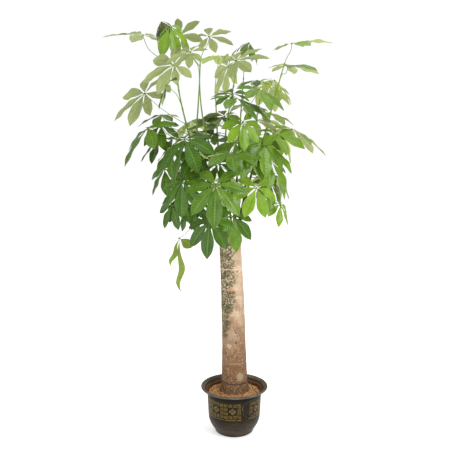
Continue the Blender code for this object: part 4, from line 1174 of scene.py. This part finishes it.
def grow_leaflet(bm, layers, leaf, blade, tone, dry):
    """One leaflet: an upper skin folded up from its midrib, and an under skin that meets it
    along the edge. A wilted one wriggles."""
    uv, tone_layer, dry_layer = layers
    angle, droop, roll, reach, wide = blade
    line = spine(leaf, angle, droop, roll, reach)
    phase, lively = random.uniform(0, 6.28), random.uniform(0.6, 1.3)
    belly = LEAF_WIDTH * wide * reach / 2 * random.uniform(0.94, 1.08)
    wither = 0.075 * reach if wide < 0.5 else 0.0
    top = bmesh.ops.create_grid(bm, x_segments=ACROSS, y_segments=ALONG, size=0.5)["verts"]
    spot = {v: (2 * v.co.x, v.co.y + 0.5) for v in top}
    faces = list(dict.fromkeys(f for v in top for f in v.link_faces))
    edges = list(dict.fromkeys(e for v in top for e in v.link_edges))
    for face in faces:
        for corner in face.loops:
            across_share, along_share = spot[corner.vert]
            corner[uv].uv = (along_share, 0.5 + 0.5 * across_share)
    under_way = {}
    for v in top:
        side, share = spot[v]
        middle, across, up = along_spine(line, share)
        half = belly * half_width(share)
        fold = half * (0.34 * abs(side) - 0.20 * side * side)
        ripple = half * 0.085 * lively * side * side * math.sin(15 * share + phase + 1.3 * side)
        v.co = (middle
                + across * (side * half - wither * share * math.sin(3 * math.pi * share))
                + up * (fold + ripple))
        under_way[v] = up * REAL_THICKNESS * (1 - side ** 4) * min(1, 12 * share, 12 * (1 - share))
        v[tone_layer], v[dry_layer] = tone, dry * between(noise.noise(v.co * 30), -0.5, 0.3)
    copy = bmesh.ops.duplicate(bm, geom=top + edges + faces)
    below = copy["vert_map"]
    new_faces = [g for g in copy["geom"] if isinstance(g, bmesh.types.BMFace)]
    bmesh.ops.reverse_faces(bm, faces=new_faces)
    for face in new_faces:
        face.material_index = 1
    for v in top:
        below[v].co = v.co - under_way[v]
    rim = [v for v in top if abs(spot[v][0]) > 0.999 or not 0.001 < spot[v][1] < 0.999]
    bmesh.ops.remove_doubles(bm, verts=rim + [below[v] for v in rim], dist=1e-7)


def grow_leaf(leaf, number):
    """One leaf: its leaflets, the hub where they meet, and the stalk down to its shoot."""
    bm = bmesh.new()
    layers = (bm.loops.layers.uv.new("leaflet"), bm.verts.layers.float.new("tone"),
              bm.verts.layers.float.new("dry"))
    # A leaf's tone: its listed value, where leaf 31's holds a painted sheen, else one that rises
    # to the right
    fresh = FRESH_AND_SHEEN.get(number, USUAL_FRESH + PALER_PER_METRE_TO_RIGHT * max(leaf.hub.x, 0.0))
    fresh += random.uniform(-FRESH_SPREAD, FRESH_SPREAD)
    for blade in leaf.blades:
        tone = fresh - BLOTCH_SHARE / 2 + random.uniform(-LEAFLET_SPREAD, LEAFLET_SPREAD)
        grow_leaflet(bm, layers, leaf, blade, tone, DRY.get(number, 0.0))
    for edge in bm.edges:
        if len({face.material_index for face in edge.link_faces}) > 1:
            edge.smooth = False
    tilt = Matrix((leaf.heading, leaf.side, leaf.up)).transposed().to_4x4()
    at = Matrix.Translation(leaf.hub) @ tilt @ Matrix.Diagonal((1.0, 1.0, 0.55, 1.0))
    hub = bmesh.ops.create_icosphere(bm, subdivisions=2, radius=HUB_RADIUS * 0.78, matrix=at)
    for face in dict.fromkeys(f for v in hub["verts"] for f in v.link_faces):
        face.material_index = 2
    places = smooth_route(stalk_line(leaf), STALK_PLACES)
    rings, start = [], leaf.out(0)
    for k, (place, way) in enumerate(zip(places, headings(places))):
        share = k / (len(places) - 1)
        radius = PETIOLE_RADIUS * (0.9 + 0.2 * share + 0.5 * math.exp(-share / 0.04)
                                   + 0.6 * math.exp(-(1 - share) / 0.04))
        rings.append(ring_round(place, way, radius, STALK_SIDES, start))
        start = rings[-1][0] - place
    stalk_faces = tube(bm, rings, 2)
    for v in dict.fromkeys(v for f in stalk_faces for v in f.verts):
        v[layers[1]] = 0.35 + 0.3 * fresh
    nodes = [f"leaf_{number:02d}"] if number <= len(LEAVES) else []
    finish_piece(f"palmate_leaf_{number:02d}", bm, [TOP, UNDER, STALK], nodes)


def stalk_line(leaf):
    """The middle line of a leaf's stalk, from inside the hub to inside the shoot."""
    middles = [sum(ring, Vector()) / len(ring) for ring in leaf.stalk]
    foot, _ = shoot_at(leaf.shoot, leaf.share)
    return [leaf.hub - leaf.up * 0.001, *middles, foot.lerp(middles[-1], 0.35)]


# More leaves inside the head, in the same columns as LEAVES. The CAD model has no nodes for
# these. They find their places last, so that they turn aside for the CAD's leaves.
FILLING_LEAVES = (
    ("a", 0.44, (-0.285, 0.050, 0.356), 225, -50, 0, 15, 6, 0.150),
    ("a", 0.38, (-0.320, 0.100, 0.265), 230, -55, 0, 15, 6, 0.140),
    ("a", 0.31, (-0.240, 0.050, 0.157), 250, -62, 0, 15, 6, 0.150),
    ("a", 0.26, (-0.280, 0.000, 0.110), 235, -70, 0, 15, 6, 0.120),
    ("c", 0.50, (-0.165, -0.100, 0.360), 260, -48, 0, 15, 6, 0.140),
    ("e", 0.62, (-0.090, 0.000, 0.425), 190, -8, 10, 6, 6, 0.130),
    ("d", 0.70, (-0.056, 0.120, 0.500), 150, 0, 0, 6, 6, 0.130),
    ("e", 0.52, (0.005, -0.140, 0.396), 275, -52, 0, 15, 7, 0.150),
    ("f", 0.44, (0.064, -0.120, 0.355), 290, -55, 0, 15, 6, 0.140),
    ("f", 0.40, (0.160, -0.030, 0.306), 310, -45, 0, 15, 6, 0.140),
    ("g", 0.62, (0.182, 0.080, 0.355), 330, -38, 0, 15, 6, 0.140),
    ("g", 0.44, (0.166, 0.020, 0.200), 320, -55, 0, 18, 6, 0.130),
    ("e", 0.42, (-0.070, 0.030, 0.293), 250, -55, 0, 15, 6, 0.130),
    ("b", 0.42, (-0.190, 0.050, 0.290), 240, -55, 0, 15, 6, 0.140),
    ("a", 0.56, (-0.330, 0.120, 0.510), 170, -5, 10, 8, 6, 0.130),
    ("b", 0.64, (-0.100, 0.060, 0.470), 190, 0, 0, 6, 6, 0.130),
    ("d", 0.82, (0.060, 0.130, 0.556), 60, -5, 0, 8, 6, 0.130),
    ("g", 0.84, (0.160, 0.100, 0.520), 20, -12, 0, 8, 6, 0.130),
    ("f", 0.62, (0.185, -0.060, 0.425), 320, -25, 0, 10, 6, 0.140),
    ("b", 0.20, (-0.150, 0.050, 0.105), 255, -65, 0, 15, 6, 0.130),
    ("g", 0.46, (0.030, 0.170, 0.316), 20, -30, 0, 10, 6, 0.130),
    ("a", 0.48, (-0.345, 0.120, 0.395), 215, -35, 0, 12, 6, 0.140),
    ("h", 0.40, (-0.225, 0.130, 0.225), 230, -50, 0, 12, 6, 0.140),
    ("g", 0.72, (0.060, 0.160, 0.410), 120, -10, 0, 10, 6, 0.130),
)


# ---- Making ---------------------------------------------------------------------------------

make_tail()
make_tie()
make_pot()
make_soil()
make_trunk()

all_leaves = [Leaf(row) for row in LEAVES]
shoot_tubes = [shoot_rings(key) for key in SHOOTS]
stalk_tubes = settle_stalks(all_leaves, shoot_tubes)
trunk_levels = [SOIL_TOP + (TRUNK_TOP - SOIL_TOP) * share for share in (0.3, 0.65, 1.0)]
trunk_tube = [ring_round(trunk_middle(z), UPWARD, trunk_radius(z), TRUNK_SIDES, RIGHT)
              for z in trunk_levels]
settle_blades(all_leaves, shoot_tubes, stalk_tubes, trunk_tube)
grown = shoot_tubes + stalk_tubes + [blade_sections(leaf, blade, GROWING_ROOM)
                                     for leaf in all_leaves for blade in leaf.blades]
filling = [Leaf(row) for row in FILLING_LEAVES]
settle_blades(filling, grown, settle_stalks(filling, grown), trunk_tube)
all_leaves += filling
for key in SHOOTS:
    make_shoot(key, all_leaves)
for number, leaf in enumerate(all_leaves, 1):
    grow_leaf(leaf, number)


# ---- Floor and light ------------------------------------------------------------------------

def make_floor():
    """A plain pale studio floor."""
    made, _ = material("studio_floor", Roughness=0.9, IOR=1.5, Specular_IOR_Level=0.1,
                       Base_Color=linear("#f6f6f4"), Emission_Color=linear("#ffffff"),
                       Emission_Strength=0.45)
    bm = bmesh.new()
    bmesh.ops.create_grid(bm, x_segments=1, y_segments=1, size=9.0)
    floor = stand("floor", mesh_from("floor", bm))
    floor.data.materials.append(made)
    floor.location.z = -0.0005


def softbox(name, place, aim, size, power):
    lamp = bpy.data.lights.new(name, "AREA")
    lamp.shape, lamp.size, lamp.energy = "DISK", size, power
    holder = stand(name, lamp)
    holder.location = place
    holder.rotation_euler = (Vector(aim) - Vector(place)).to_track_quat("-Z", "Y").to_euler()


make_floor()
softbox("key", (1.9, -2.3, 2.7), (0.0, 0.0, 0.9), 1.4, 60.0)
softbox("fill", (-2.4, -2.2, 1.6), (0.0, 0.0, 1.1), 2.2, 22.0)
sky = bpy.data.lights.new("overhead", "SUN")
sky.energy, sky.angle = 1.3, math.radians(70)
stand("overhead", sky).rotation_euler = (math.radians(-12), math.radians(8), 0)

# A white backdrop, which the camera sees brighter than it lights the plant
world = bpy.data.worlds.new("white_studio")
world.use_nodes = True
backdrop = world.node_tree.nodes["Background"]
backdrop.inputs["Color"].default_value = (1.0, 1.0, 1.0, 1.0)
seen = add(world.node_tree, "LightPath").node.outputs["Is Camera Ray"]
seen = add(world.node_tree, "MapRange", seen, To_Min=0.5, To_Max=1.02)
world.node_tree.links.new(seen, backdrop.inputs["Strength"])
bpy.context.scene.world = world
bpy.context.scene.view_settings.view_transform = "Standard"
